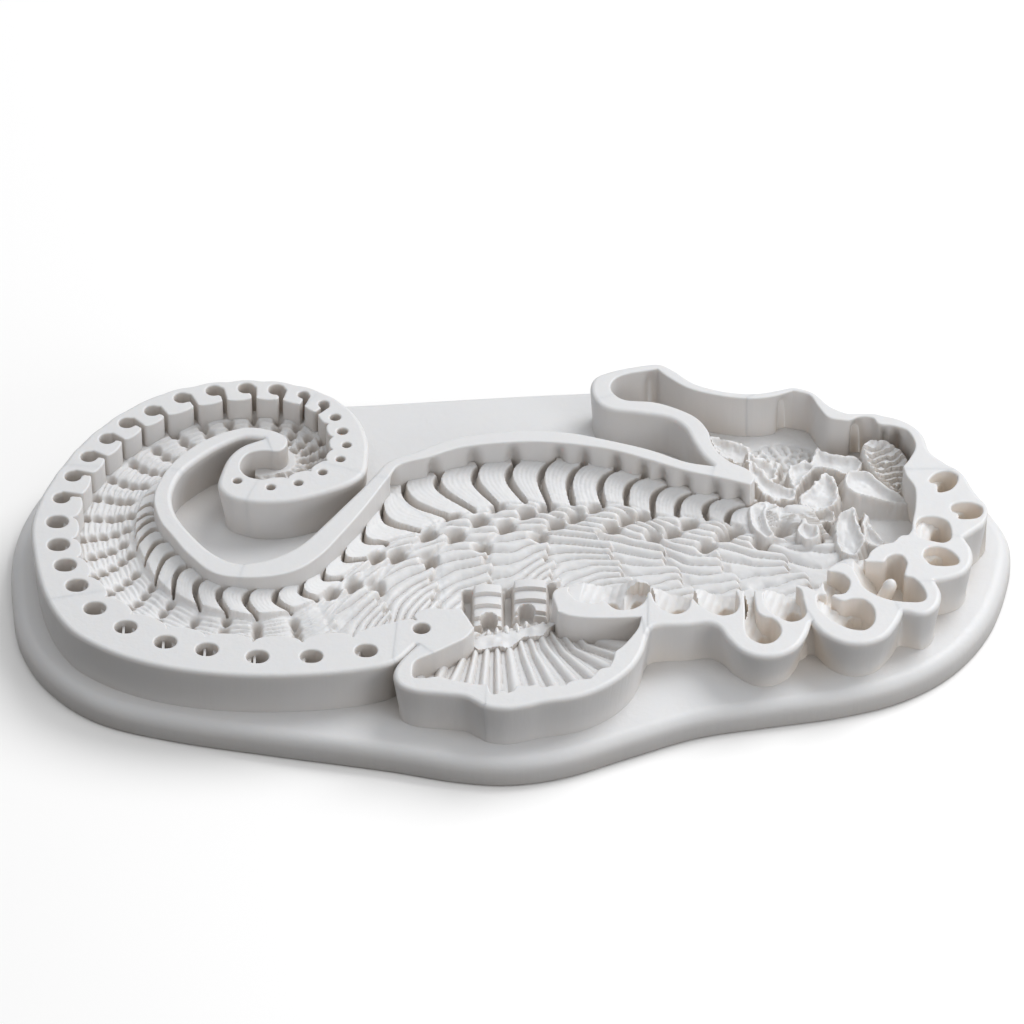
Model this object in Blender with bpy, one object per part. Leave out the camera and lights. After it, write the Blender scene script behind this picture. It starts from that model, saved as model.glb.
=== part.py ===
"""Silicone casting mould for a large seahorse relief, lying flat with its cavity open upwards.

Frame: +X towards the seahorse's head, +Y towards its belly, +Z up out of the cavity.
The origin is the middle of the slab's underside. The mould is one casting; each named
solid here is one region of it, and a gap of 0.3 mm separates neighbouring regions.
Outlines are drawn in millimetres in a plan frame whose origin lies in the trunk.
"""
import math

import bmesh
import bpy

MM = 0.001

# Driving dimensions, millimetres
SLAB_T = 5.0            # thickness of the base slab
RIM_Z = 13.5            # height of the rim plane over the slab's underside
GAP = 0.3               # clearance between neighbouring regions
PLAN_MID = (0.1, 9.0)   # plan point that lies over the part's origin
SLAB_ROUND = 2.4        # radius of the slab's upper edge
TAIL_FLOOR_Z = 8.6      # top of the tail channel's floor
TRUNK_FLOOR_Z = 7.0     # top of the trunk's floor
FIN_FLOOR_Z = 8.3       # top of the fin pocket's floor
RIB_Z = 8.8             # top of the ribs on the trunk floor
CURL_RIB_Z = 10.0       # top of the ribs on the tail floor
RIB_W = 1.8             # width of a rib
RIB_BAR = 1.0           # width of the bar that joins a row of ribs at their roots
HOLE_SIDES = 10
CURVE_STEPS = 2         # straight runs between two points of an outline

WALL_Z = SLAB_T + GAP

# The slab's outline, from its left end anticlockwise
SLAB = [(-84.9, 12), (-84.4, 3), (-82.4, -8), (-77.4, -17.5), (-69, -25.6), (-57, -30.6), (-40, -34.2),
        (-21, -38), (-9, -41), (0, -41.8), (9, -40.2), (20, -35.2), (31, -30.4), (43, -27.6), (55, -25),
        (65.5, -20.6), (74, -12.8), (80.4, -2.4), (84.3, 9), (85.1, 17), (82.8, 25), (77.5, 34.5),
        (70, 44), (60, 51), (49, 56), (36, 58.9), (22, 59.8), (8, 59.1), (-10, 57.5), (-28, 55.8),
        (-45, 55.2), (-58, 52.4), (-68.5, 46.4), (-76, 38.5), (-81, 29.5), (-83.9, 20.5)]

# Tail band: the raised rim that follows the tail's outer side into the curl
TAIL_OUT = [(-9.4, -21.4), (-16.1, -22.8), (-19.5, -27.2), (-25, -29.3), (-32, -30.5), (-40, -31), (-48, -30.6),
            (-56, -29.2), (-63, -26.8), (-69, -23.4), (-74, -19), (-77.5, -13), (-79.8, -6), (-81.3, 2),
            (-82, 10), (-80, 19.3), (-77.5, 25), (-73.3, 33), (-68, 40), (-61, 45.8), (-53, 49.4),
            (-45, 50.8), (-37, 49.3), (-31, 45.7), (-27, 40.5), (-25, 34), (-24.8, 28.5), (-25.4, 24.2),
            (-28, 21.2), (-32, 18.8), (-37, 16.7), (-41, 16), (-45, 16.4), (-48.8, 18)]
TAIL_IN = [(-7.4, -17.4), (-9, -12.8), (-16.8, -14.8), (-20.8, -17.6), (-27, -19.2), (-35, -20.8), (-43, -20.6),
           (-50, -19.6), (-58.3, -17), (-63, -14.2), (-67.5, -9.6), (-70.8, -4.2), (-73, 1.8), (-74, 8),
           (-74, 14), (-73, 21.4), (-70.7, 27), (-67, 33.3), (-62, 38.7), (-56, 42.7), (-49.5, 44.9),
           (-43, 45.4), (-37.5, 44.2), (-33.7, 41.3), (-31.7, 37.5), (-31, 33.5), (-31.2, 29.8),
           (-32.8, 27), (-35, 25), (-37.8, 23.6), (-40.5, 22.8), (-42.5, 22.5), (-44, 22.8), (-45.2, 23.4)]
TAIL_CUTS = [(2, "tail_wall_root"), (8, "tail_wall_lower"), (15, "tail_wall_left"), (21, "tail_wall_top"),
             (27, "tail_wall_curl"), (33, "tail_wall_tip")]

# Curl tongue: closes the channel's inner end round the open slot's blind end
TONGUE_OUT = [(-48.8, 18), (-50.6, 21), (-50, 25), (-48.6, 29.4), (-46.3, 32.3), (-43, 34.3)]
TONGUE_IN = [(-45.2, 23.4), (-46.3, 25), (-46.6, 27.2), (-45.6, 29.4), (-43.2, 30.3), (-40.6, 31.3)]

# Inner wall: between the tail channel and the open space inside the curl
INNER_OPEN = [(-43, 34.3), (-46.6, 34.2), (-50.4, 31.6), (-54, 28.2), (-57, 23.8), (-58.3, 18),
              (-57.3, 12.5), (-54.5, 7.2), (-51, 2.4), (-47, -0.5), (-43, -0.2), (-39, 1.8), (-35.5, 5),
              (-32, 10.2), (-28.5, 15.8), (-25.5, 20.6), (-23.4, 24.4)]
INNER_CAVITY = [(-40.6, 31.3), (-39.4, 34.2), (-42, 36.2), (-46.5, 36.9), (-53, 33.6), (-58.5, 27),
                (-61.3, 18.5), (-60.3, 11.5), (-57.7, 6.4), (-54.8, 1.4), (-50, -3.8), (-43, -4.7),
                (-37, -3), (-32.6, 1.2), (-28.8, 7.6), (-25, 14.8), (-21.2, 23)]
INNER_CUTS = [(5, "inner_wall_top"), (10, "inner_wall_left"), (16, "inner_wall_right")]

# Belly wall
BELLY_OUT = [(-23.4, 24.4), (-21.3, 27.7), (-17, 30.2), (-11.5, 33.6), (-5, 35.7), (3, 36.4),
             (10, 35.9), (17, 33.7), (24, 31), (30, 27.7), (34.2, 26.6)]
BELLY_IN = [(-21.2, 23), (-19.2, 26.4), (-14.5, 28.5), (-9, 31.3), (-3, 32.5), (3.5, 33),
            (10, 32.4), (17, 30.8), (23, 28), (30, 24.6), (41, 20.6)]

# Snout and head walls
JAW_OUT = [(34.2, 26.6), (32.8, 29.3), (31.3, 33), (29.9, 37), (27.2, 39.9), (22, 41.3), (17, 42.3),
           (14.6, 44.5)]
JAW_IN = [(41, 20.6), (41.8, 25), (36.4, 28.8), (34.3, 35), (31.3, 40.6), (25.5, 44.1), (20, 44.8),
          (17.8, 46.6)]
SNOUT_OUT = [(14.6, 44.5), (13.7, 48), (14.3, 51.3), (16.8, 53.2), (21, 54.6), (25.5, 55.4),
             (28.5, 53.6), (32, 49.8), (37, 47.5), (42, 46.9)]
SNOUT_IN = [(17.8, 46.6), (17.2, 48.8), (18, 51), (20, 52.4), (22.7, 53.3), (25.4, 53.3),
            (27.5, 51.1), (31, 48), (36, 46), (41, 45)]
HEAD_OUT = [(42, 46.9), (46, 47.7), (49.3, 48.5), (52.5, 47), (55.5, 43.3), (59, 41.2), (63.5, 41),
            (68, 39.2), (71, 35.5), (72.2, 30.5), (74.8, 27.2), (77.5, 24)]
HEAD_IN = [(41, 45), (45, 45.4), (49, 46.6), (51.8, 45.2), (53.5, 42), (57, 39), (61, 39.2),
           (65, 37.9), (68.4, 35.8), (69.6, 31.5), (67.9, 27.5), (67.6, 24)]

# Crown and back: lobed walls, each (name, outer points, inner points, holes as x, y, radius)
CROWN_LOBES = [
    ("crown_lobe_upper",
     [(77.5, 24), (79.5, 19), (81.3, 14.5), (80.6, 10.3), (76.9, 6.4)],
     [(67.6, 24), (69.1, 20), (68.9, 15), (68.4, 11), (68.8, 7.6)],
     [(74.8, 22, 2.1), (77.8, 13.7, 2.1), (73, 9, 1.7)]),
    ("crown_lobe_lower",
     [(76.9, 6.4), (78.1, 1.2), (76.6, -3.2), (71.6, -5.6)],
     [(68.8, 7.6), (67.5, 6.6), (66, 5.4), (64.5, 4.6)],
     [(72.8, 1, 2.6)]),
    ("back_lobe_pin",
     [(71.6, -5.6), (72.2, -9.5), (70.6, -13.8), (65.7, -13.9)],
     [(64.5, 4.6), (61.4, 2.4), (59.8, -1.4), (58.9, -4.6)],
     [(65.6, -7.4, 3.2), (65.1, -1, 1.6)]),
    ("back_lobe_large",
     [(65.7, -13.9), (63.6, -19.3), (60.3, -22.1), (56.5, -22.4), (52.8, -20.2), (50.4, -16.8)],
     [(58.9, -4.6), (57.2, -2.6), (55.5, -1.2), (53.7, -2.4), (52, -5), (50.4, -7.4)],
     [(58.5, -15, 2.8), (54.9, -6.8, 1.9)]),
    ("back_lobe_middle",
     [(50.4, -16.8), (48.6, -21.4), (45, -25.3), (41.5, -25.9), (37.6, -23.3), (35, -19), (33.2, -17)],
     [(50.4, -7.4), (47.5, -8.2), (44.8, -8.4), (42, -8.5), (39, -8.6), (36, -8.8), (33.2, -9)],
     [(42.3, -18.8, 2.7), (46.9, -12.6, 2), (36.4, -12, 1.9)]),
    ("back_wall",
     [(33.2, -17), (28, -17.6), (23.5, -18)],
     [(33.2, -9), (27, -8.6), (22.5, -6.2)],
     [(27.9, -12, 1.9)]),
]
CRESCENT = [(22.2, -15.6), (14, -15.5), (9.5, -14.8), (7.6, -13.2), (6.8, -9.5), (9.6, -6.6),
            (15.4, -2.6), (18.6, -4.4), (22.2, -6)]
CRESCENT_HOLES = [(15.2, -8, 1.7), (20, -9.4, 1.8)]

# Fin pocket wall
FIN_OUT = [(-15.9, -23.4), (-18.3, -27), (-19.7, -30.2), (-19, -33.5), (-15, -35.3), (-9.5, -35.9),
           (-6, -38.3), (-1, -39.5), (5, -38), (11, -36.5), (16, -33.5), (19.8, -29), (21.9, -24),
           (22.9, -18.3)]
FIN_IN = [(-9.2, -21.9), (-13.2, -24.6), (-16.4, -27.6), (-16.3, -31), (-12.5, -31.6), (-8, -32.6),
          (-4, -34), (-1, -35), (3, -34.2), (8, -33.2), (13, -31), (16.5, -27), (18.8, -23),
          (21.6, -16.2)]
FIN_CUTS = [(6, "fin_wall_left"), (13, "fin_wall_right")]

# Spine sockets along the tail band: plan centre of each blind hole, from the trunk to the curl
TAIL_HOLES = [(-15.4, -17.8), (-24.4, -24.3), (-33.5, -25.8), (-42.5, -25.9), (-51, -24), (-58, -22),
              (-64.8, -18), (-70.2, -13), (-73.6, -6.8), (-76, -1.3), (-77.4, 4.3), (-78, 10.6),
              (-77.3, 17.2), (-75.4, 23.3), (-73.1, 28.9), (-70.3, 34), (-67, 38.6), (-62.6, 42.1),
              (-57.5, 45.4), (-52, 47.6), (-46.2, 48.3), (-40.9, 47.9), (-36.1, 46.2), (-32.2, 43.3),
              (-29.8, 39.6), (-28.5, 35.8), (-28, 31.8), (-28.2, 27.8), (-31, 23.8), (-35.6, 20.7),
              (-40.8, 19.4), (-48.2, 23.2)]
TAIL_HOLE_R = 1.2
HOLE_MARGIN = 0.4       # least wall left between a hole and its region's ends

# Floors, each (name, top height, closed outline)
FLOORS = [
    ("trunk_floor_head", TRUNK_FLOOR_Z,
     [(40.4, 19.8), (30, 23.9), (23, 27.3), (16.4, 30.2), (16.4, -1.4), (18.8, -3.4), (24, -6.6),
      (32, -8.2), (44, -7.8), (50.2, -6.8), (53, -2.2), (55.5, -0.4), (57.4, -1.4), (57.4, 14),
      (48, 17)]),
    ("trunk_floor_middle", TRUNK_FLOOR_Z,
     [(16.1, 30.3), (10, 31.9), (3.5, 32.5), (-3, 32), (-9, 30.8), (-14.4, 28), (-14.4, -12.8),
      (-9, -12.2), (-8, -13.9), (6.8, -13.9), (6.4, -9), (9.4, -6), (15.2, -2), (16.1, -1.7)]),
    ("trunk_floor_tail", TAIL_FLOOR_Z,
     [(-14.7, 27.9), (-18.8, 25.6), (-24.4, 14.6), (-28.2, 7.4), (-32, 1), (-35, -2.4), (-35, -20.2),
      (-27, -18.5), (-20, -16.6), (-14.7, -13.3)]),
]
TAIL_FLOOR_OUT = [(-35.3, -20.2), (-43, -20), (-50, -19), (-56.8, -17), (-62.6, -13.7), (-67, -9.2),
                  (-70.2, -4), (-72.4, 1.9), (-73.4, 8), (-73.4, 14), (-72.4, 20.3), (-70.1, 26.8),
                  (-66.5, 32.9), (-61.6, 38.2), (-55.7, 42.1), (-49.3, 44.3), (-43.1, 44.8),
                  (-37.9, 43.6), (-34.2, 40.9), (-32.3, 37.3), (-31.6, 33.5), (-31.8, 30),
                  (-33.3, 27.4), (-35.3, 25.6), (-38, 24.2), (-40.7, 23.4)]
TAIL_FLOOR_IN = [(-35.3, -2.7), (-39, -4.6), (-43, -5.3), (-47, -5.1), (-50.4, -4.3), (-53.4, -1.6),
                 (-55.5, 1.6), (-57, 4.2), (-59.2, 8), (-60.6, 11.3), (-61.6, 15), (-61.8, 20),
                 (-60.7, 24.2), (-59, 27.3), (-56.5, 30.7), (-53.3, 34.1), (-49.5, 36.5), (-46.3, 37.5),
                 (-42, 36.9), (-39.5, 35.4), (-38.7, 33.6), (-39.2, 31.9), (-40.3, 31),
                 (-41.8, 30.2), (-43.4, 29.7), (-44.7, 28.6)]
TAIL_FLOOR_CUTS = [(7, "tail_floor_lower"), (13, "tail_floor_left"), (19, "tail_floor_top"),
                   (25, "tail_floor_curl")]
FIN_FLOOR = [(-6.8, -20.8), (-12.8, -25), (-15.9, -28), (-15.9, -30.5), (-12.5, -31.1),
             (-8, -32.1), (-4, -33.4), (-1, -34.4), (3, -33.7), (8, -32.7), (12.8, -30.5), (16, -26.7),
             (18.3, -22.8), (20.8, -16.3), (14, -16), (9.3, -15.4), (7.3, -14.2),
             (-6.8, -14.2)]

# Ribs: (root on the wall, free end) of the first and last of each row; the rest are spread between
BELLY_RIBS = (((-11.5, 26.2), (-5.5, 17)), ((38, 17.6), (39.8, 10.5)), 12)
CURL_RIBS = (((-53, -6), (-51.5, -12)), ((-38, -6.5), (-37.5, -12.5)), 5)

# Head relief, (name, plan centre, turn about Z in degrees, length, width, top height)
HEAD_BLOCKS = [
    ("cheek_plate", (62, 17.5), -8, 7, 7.5, 8.5),
    ("crest_block", (64.6, 31.5), -6, 5, 8, 8.2),
    ("gill_plate", (51.5, 24.5), 35, 7, 3, 7.6),
]
EYE_RING = ("eye_ring", (47.5, 35.5), 3.8, 2.4, 6.8)

CORE_PIN = ("core_pin", (64.9, -7.2), 1.15, 13.0)
VERTEBRAE = [(-5, -11.4), (2.6, -10.2)]
VERTEBRA_SIZE = (4.6, 4.6, 10.4)

SILICONE = (0.80, 0.80, 0.81)
ROUGHNESS = 0.48


def place(points):
    """Turn plan millimetres into the part's own metres."""
    return [((x - PLAN_MID[0]) * MM, (y - PLAN_MID[1]) * MM) for x, y in points]


def spline_point(p0, p1, p2, p3, t):
    """A point of the smooth curve that runs from p1 to p2."""
    def axis(k):
        a, b, c, d = p0[k], p1[k], p2[k], p3[k]
        return 0.5 * (2 * b + (c - a) * t + (2 * a - 5 * b + 4 * c - d) * t * t
                      + (3 * b - a - 3 * c + d) * t ** 3)
    return axis(0), axis(1)


def smooth(points, closed=False, steps=CURVE_STEPS):
    """A smooth curve through hand-placed points."""
    count = len(points)
    spans = count if closed else count - 1
    result = []
    for i in range(spans):
        if closed:
            near = [points[(i + k) % count] for k in (-1, 0, 1, 2)]
        else:
            near = [points[min(max(i + k, 0), count - 1)] for k in (-1, 0, 1, 2)]
        result += [spline_point(*near, step / steps) for step in range(steps)]
    if not closed:
        result.append(points[-1])
    return result


def trimmed(curve, length):
    """The open curve with the given length taken off each end."""
    def cut(first, second):
        span = math.dist(first, second)
        share = length / span
        return (first[0] + (second[0] - first[0]) * share, first[1] + (second[1] - first[1]) * share)
    return [cut(curve[0], curve[1])] + curve[1:-1] + [cut(curve[-1], curve[-2])]


def inset(loop, depth):
    """A closed anticlockwise loop moved inwards by depth."""
    count = len(loop)
    moved = []
    for i in range(count):
        ax, ay = loop[i - 1]
        bx, by = loop[(i + 1) % count]
        span = math.hypot(bx - ax, by - ay)
        moved.append((loop[i][0] - (by - ay) / span * depth, loop[i][1] + (bx - ax) / span * depth))
    return moved


def area(loop):
    return 0.5 * sum(a[0] * b[1] - b[0] * a[1] for a, b in zip(loop, loop[1:] + loop[:1]))


def material(name, shade=1.0):
    mat = bpy.data.materials.new(name + "_silicone")
    mat.use_nodes = True
    shader = mat.node_tree.nodes["Principled BSDF"]
    shader.inputs["Base Color"].default_value = tuple(c * shade for c in SILICONE) + (1.0,)
    shader.inputs["Roughness"].default_value = ROUGHNESS
    shader.inputs["Metallic"].default_value = 0.0
    return mat


def add_object(name, bm, shade=1.0):
    mesh = bpy.data.meshes.new(name)
    bm.to_mesh(mesh)
    bm.free()
    obj = bpy.data.objects.new(name, mesh)
    obj.data.materials.append(material(name, shade))
    bpy.context.collection.objects.link(obj)
    return obj


def add_stack(bm, rings):
    """Add a closed solid through rings of equal point counts; each ring is (loop, height)."""
    levels = []
    for loop, height in rings:
        if area(loop) < 0:
            loop = loop[::-1]
        levels.append([bm.verts.new((x, y, height * MM)) for x, y in place(loop)])
    for low, high in zip(levels, levels[1:]):
        for i in range(len(low)):
            j = (i + 1) % len(low)
            bm.faces.new((low[i], low[j], high[j], high[i]))
    bm.faces.new(levels[0][::-1])
    bm.faces.new(levels[-1])


def add_prism(name, loop, low, high, shade=1.0):
    bm = bmesh.new()
    add_stack(bm, [(loop, low), (loop, high)])
    return add_object(name, bm, shade)


def circle(centre, radius, sides=HOLE_SIDES):
    turns = [2 * math.pi * k / sides for k in range(sides)]
    return [(centre[0] + radius * math.cos(a), centre[1] + radius * math.sin(a)) for a in turns]


def cut_holes(obj, holes):
    """Cut upright round holes right through a wall, each hole (x, y, radius)."""
    if not holes:
        return
    bm = bmesh.new()
    for x, y, radius in holes:
        add_stack(bm, [(circle((x, y), radius), WALL_Z - 1), (circle((x, y), radius), RIM_Z + 1)])
    cutter = add_object(obj.name + "_cutter", bm)
    cutter.hide_render = True
    cutter.display_type = "WIRE"
    modifier = obj.modifiers.new("sockets", "BOOLEAN")
    modifier.operation = "DIFFERENCE"
    modifier.object = cutter


def inside(point, loop):
    x, y = point
    hit = False
    for (ax, ay), (bx, by) in zip(loop, loop[1:] + loop[:1]):
        if (ay > y) != (by > y) and x < (bx - ax) * (y - ay) / (by - ay) + ax:
            hit = not hit
    return hit


def clear_inside(centre, radius, loop):
    return all(inside(p, loop) for p in circle(centre, radius))


def ribbon(outer, inner):
    """A wall's closed outline between its outer and inner edges, with both ends trimmed."""
    return trimmed(smooth(outer), GAP / 2) + trimmed(smooth(inner), GAP / 2)[::-1]


def split_ribbons(outer, inner, cuts):
    """Outlines of the regions of a long ribbon, cut at the given stations."""
    start = 0
    for stop, name in cuts:
        yield name, ribbon(outer[start:stop + 1], inner[start:stop + 1])
        start = stop


def build_slab():
    quarter = [math.radians(a) for a in (0, 30, 60, 90)]
    outline = smooth(SLAB, closed=True)
    rings = [(inset(outline, 0.5), 0.0), (outline, 0.7)]
    for a in quarter:
        rings.append((inset(outline, SLAB_ROUND * (1 - math.cos(a))),
                      SLAB_T - SLAB_ROUND * (1 - math.sin(a))))
    bm = bmesh.new()
    add_stack(bm, rings)
    add_object("base_slab", bm, shade=0.94)


def build_socket_wall(name, loop):
    """A region of the tail band, with the spine sockets that lie in it."""
    reach = TAIL_HOLE_R + HOLE_MARGIN
    held = [(x, y, TAIL_HOLE_R) for x, y in TAIL_HOLES if clear_inside((x, y), reach, loop)]
    cut_holes(add_prism(name, loop, WALL_Z, RIM_Z), held)


def build_tail_walls():
    for name, loop in split_ribbons(TAIL_OUT, TAIL_IN, TAIL_CUTS):
        build_socket_wall(name, loop)
    build_socket_wall("curl_tongue", ribbon(TONGUE_OUT, TONGUE_IN))


def build_plain_walls():
    for name, loop in split_ribbons(INNER_OPEN, INNER_CAVITY, INNER_CUTS):
        add_prism(name, loop, WALL_Z, RIM_Z)
    for name, outer, inner in (("belly_wall", BELLY_OUT, BELLY_IN), ("jaw_wall", JAW_OUT, JAW_IN),
                               ("snout_wall", SNOUT_OUT, SNOUT_IN), ("head_wall", HEAD_OUT, HEAD_IN)):
        add_prism(name, ribbon(outer, inner), WALL_Z, RIM_Z)
    for name, loop in split_ribbons(FIN_OUT, FIN_IN, FIN_CUTS):
        add_prism(name, loop, WALL_Z, RIM_Z)


def build_lobes():
    for name, outer, inner, holes in CROWN_LOBES:
        cut_holes(add_prism(name, ribbon(outer, inner), WALL_Z, RIM_Z), holes)
    cut_holes(add_prism("fin_crescent", smooth(CRESCENT, closed=True), WALL_Z, RIM_Z), CRESCENT_HOLES)
    name, centre, radius, top = CORE_PIN
    add_prism(name, circle(centre, radius, 16), WALL_Z, top)


def build_floors():
    for name, top, loop in FLOORS:
        add_prism(name, loop, WALL_Z, top, shade=0.97)
    for name, loop in split_ribbons(TAIL_FLOOR_OUT, TAIL_FLOOR_IN, TAIL_FLOOR_CUTS):
        add_prism(name, loop, WALL_Z, TAIL_FLOOR_Z, shade=0.97)
    add_prism("fin_floor", FIN_FLOOR, WALL_Z, FIN_FLOOR_Z, shade=0.97)


def build_ribs(name, row, low, high):
    """A row of straight ribs that stand out from one bar at their roots, like a comb."""
    (root_a, tip_a), (root_b, tip_b), count = row
    loop = []
    for k in range(count):
        share = k / (count - 1)
        root = [a + (b - a) * share for a, b in zip(root_a, root_b)]
        tip = [a + (b - a) * share for a, b in zip(tip_a, tip_b)]
        span = math.dist(root, tip)
        across = ((root[1] - tip[1]) / span * RIB_W / 2, (tip[0] - root[0]) / span * RIB_W / 2)
        for end, sign in ((root, -1), (tip, -1), (tip, 1), (root, 1)):
            loop.append((end[0] + sign * across[0], end[1] + sign * across[1]))
    run = (loop[-1][0] - loop[0][0], loop[-1][1] - loop[0][1])
    back = (-run[1] / math.hypot(*run) * RIB_BAR, run[0] / math.hypot(*run) * RIB_BAR)
    loop += [(loop[-1][0] + back[0], loop[-1][1] + back[1]), (loop[0][0] + back[0], loop[0][1] + back[1])]
    add_prism(name, loop, low, high)


def build_relief():
    build_ribs("belly_ribs", BELLY_RIBS, TRUNK_FLOOR_Z + GAP, RIB_Z)
    build_ribs("curl_ribs", CURL_RIBS, TAIL_FLOOR_Z + GAP, CURL_RIB_Z)
    for name, centre, turn, length, width, top in HEAD_BLOCKS:
        c, s = math.cos(math.radians(turn)), math.sin(math.radians(turn))
        corners = [(u * length / 2, v * width / 2) for u, v in ((-1, -1), (1, -1), (1, 1), (-1, 1))]
        loop = [(centre[0] + u * c - v * s, centre[1] + u * s + v * c) for u, v in corners]
        add_prism(name, loop, WALL_Z, top)
    name, centre, outer, inner, top = EYE_RING
    ring = add_prism(name, circle(centre, outer, 20), WALL_Z, top)
    cut_holes(ring, [(*centre, inner)])
    length, width, top = VERTEBRA_SIZE
    for number, (x, y) in enumerate(VERTEBRAE, 1):
        loop = [(x - length / 2, y - width / 2), (x + length / 2, y - width / 2),
                (x + length / 2, y + width / 2), (x - length / 2, y + width / 2)]
        add_prism(f"vertebra_block_{number}", loop, TRUNK_FLOOR_Z + GAP, top)


def main():
    for obj in list(bpy.data.objects):
        bpy.data.objects.remove(obj, do_unlink=True)
    build_slab()
    build_tail_walls()
    build_plain_walls()
    build_lobes()
    build_floors()
    build_relief()


main()
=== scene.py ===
"""Looks of the silicone seahorse mould: rounded rims, scalloped sockets, carved floors, soft studio light.

Outlines are drawn in millimetres in a plan frame whose origin lies in the trunk; PLAN_MID is the
plan point over the part's origin. Heights are millimetres over the slab's underside.
"""
import math

import bpy
import numpy as np
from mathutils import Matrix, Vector
from mathutils.geometry import delaunay_2d_cdt


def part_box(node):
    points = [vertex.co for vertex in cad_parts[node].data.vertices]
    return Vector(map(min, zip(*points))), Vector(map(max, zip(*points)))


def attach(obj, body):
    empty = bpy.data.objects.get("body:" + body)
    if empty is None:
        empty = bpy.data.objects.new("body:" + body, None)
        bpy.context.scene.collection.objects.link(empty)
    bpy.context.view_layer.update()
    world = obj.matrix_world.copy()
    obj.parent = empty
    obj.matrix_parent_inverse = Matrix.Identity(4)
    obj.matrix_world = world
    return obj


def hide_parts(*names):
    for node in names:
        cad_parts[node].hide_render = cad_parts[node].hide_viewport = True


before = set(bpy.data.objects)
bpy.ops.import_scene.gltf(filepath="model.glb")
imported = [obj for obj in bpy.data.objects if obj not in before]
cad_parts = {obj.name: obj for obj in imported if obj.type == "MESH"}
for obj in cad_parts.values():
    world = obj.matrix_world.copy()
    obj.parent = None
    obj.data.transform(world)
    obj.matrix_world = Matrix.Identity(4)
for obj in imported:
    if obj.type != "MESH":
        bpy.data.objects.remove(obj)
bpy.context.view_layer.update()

MM = 0.001
PLAN_MID = (0.1, 9.0)
SLAB_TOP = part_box("base_slab")[1][2] / MM
RIM_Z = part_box("belly_wall")[1][2] / MM
EMBED = 0.4                 # how far walls and floors reach into the slab

# ---------------------------------------------------------------- outlines

# The slab's outline, anticlockwise seen from above
SLAB = [(-85.8, 12), (-85.3, 3), (-83.4, -8.8), (-78.4, -19.1), (-69.8, -27.4), (-57.4, -32.2),
    (-40, -36.2), (-21, -40.1), (-9, -43.1), (0, -43.8), (9, -41.8), (20, -36.6), (31, -31.6), (43, -28.8),
    (55, -26.2), (65.8, -22), (74.8, -14.6), (81.3, -4), (84.9, 8.4), (85.5, 17), (82.8, 25), (77.5, 34.5),
    (70, 44), (60, 51), (49, 56), (36, 58.9), (22, 59.8), (8, 59.1), (-10, 57.5), (-28, 55.8), (-45, 55.2),
    (-58.6, 52.8), (-69.3, 47), (-76.9, 38.9), (-81.9, 29.7), (-84.8, 20.7)]

# The rim's outer outline as smooth runs that meet at corners, from the notch by the fin clockwise
# round the tail, up the open curl, over the belly, snout and head, and back. Each run starts where
# the one before it ends, and the first one where the last one ends
RIM_RUNS = [
    [(-19.5, -27.2), (-25, -29.3), (-32, -30.5), (-40, -31), (-48, -30.6), (-56, -29.2), (-63, -26.8),
     (-69, -23.4), (-74, -19), (-77.5, -13), (-79.8, -6), (-81.3, 2), (-82, 10), (-80.6, 18), (-78.1, 25),
     (-74.3, 33), (-69.2, 40), (-62.4, 46.2), (-54, 49.7), (-45, 50.8), (-37, 49.3), (-31, 45.7),
     (-27, 40.5), (-25, 34), (-24.8, 28.5), (-25.3, 24.4), (-27.6, 21.4), (-32, 18.8), (-37, 16.7),
     (-41, 16), (-45, 16.2), (-48.6, 17.6), (-50.5, 20.6), (-50, 25), (-48.8, 29), (-46.6, 32), (-43, 34.1)],
    [(-46.6, 34.3), (-50.4, 31.8), (-54, 28.2), (-57, 23.8), (-58.3, 18), (-57.3, 12.5), (-54.5, 7.2),
     (-51, 2.4), (-47, -0.5), (-43, -0.2), (-39, 1.8), (-35.5, 5), (-32, 10.2), (-28.5, 15.8),
     (-25.5, 20.6), (-23.4, 24.4), (-21.3, 27.7), (-17, 30.2), (-11.5, 33.6), (-5, 35.7), (3, 36.4),
     (10, 35.9), (17, 33.7), (24, 31), (30, 27.7), (34.6, 26.5)],
    [(32.8, 29.3), (31.3, 33), (29.9, 37), (27.2, 39.9), (22, 41.3), (17, 42.3), (14.6, 44.5), (13.7, 48),
     (14.3, 51.3), (16.8, 53.2), (21, 54.6), (25.5, 55.4), (28.5, 53.6), (32, 49.8), (37, 47.5), (42, 46.9),
     (46, 47.7), (49.3, 48.5), (52.5, 47), (55.5, 43.3), (59, 41.2), (63.5, 41), (68, 39.2), (71, 35.5),
     (72.2, 30.5), (74.8, 27.2), (77.5, 24), (79.5, 19), (81.3, 14.5), (80.6, 10.3), (78.6, 8), (77, 6.4)],
    [(78.1, 3.2), (78, -0.4), (76.4, -3.4), (73.8, -4.9), (71.6, -5.5)],
    [(72.4, -8.8), (71.6, -12.4), (69.2, -14.6), (65.8, -13.7)],
    [(64.6, -17), (62.4, -20.6), (59, -22.4), (55.4, -22.1), (52.2, -19.8), (50.2, -16.7)],
    [(49.3, -20), (47.5, -23.4), (44.6, -25.5), (41.2, -25.8), (38.2, -24.2), (36, -21), (34.6, -18),
     (32.6, -16.8), (29, -17.4), (25, -17.6), (23.3, -18.4), (22.6, -21), (21.8, -24.6), (19.8, -29),
     (16, -33.3), (11, -36.4), (5, -37.9), (2.6, -38.8), (-1, -39.6), (-4.4, -39), (-6.2, -37.6),
     (-8.2, -36.2), (-12, -35.6), (-16, -35), (-18.8, -33.4), (-19.8, -30.4), (-18.8, -27), (-16.1, -22.8)],
]

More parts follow.
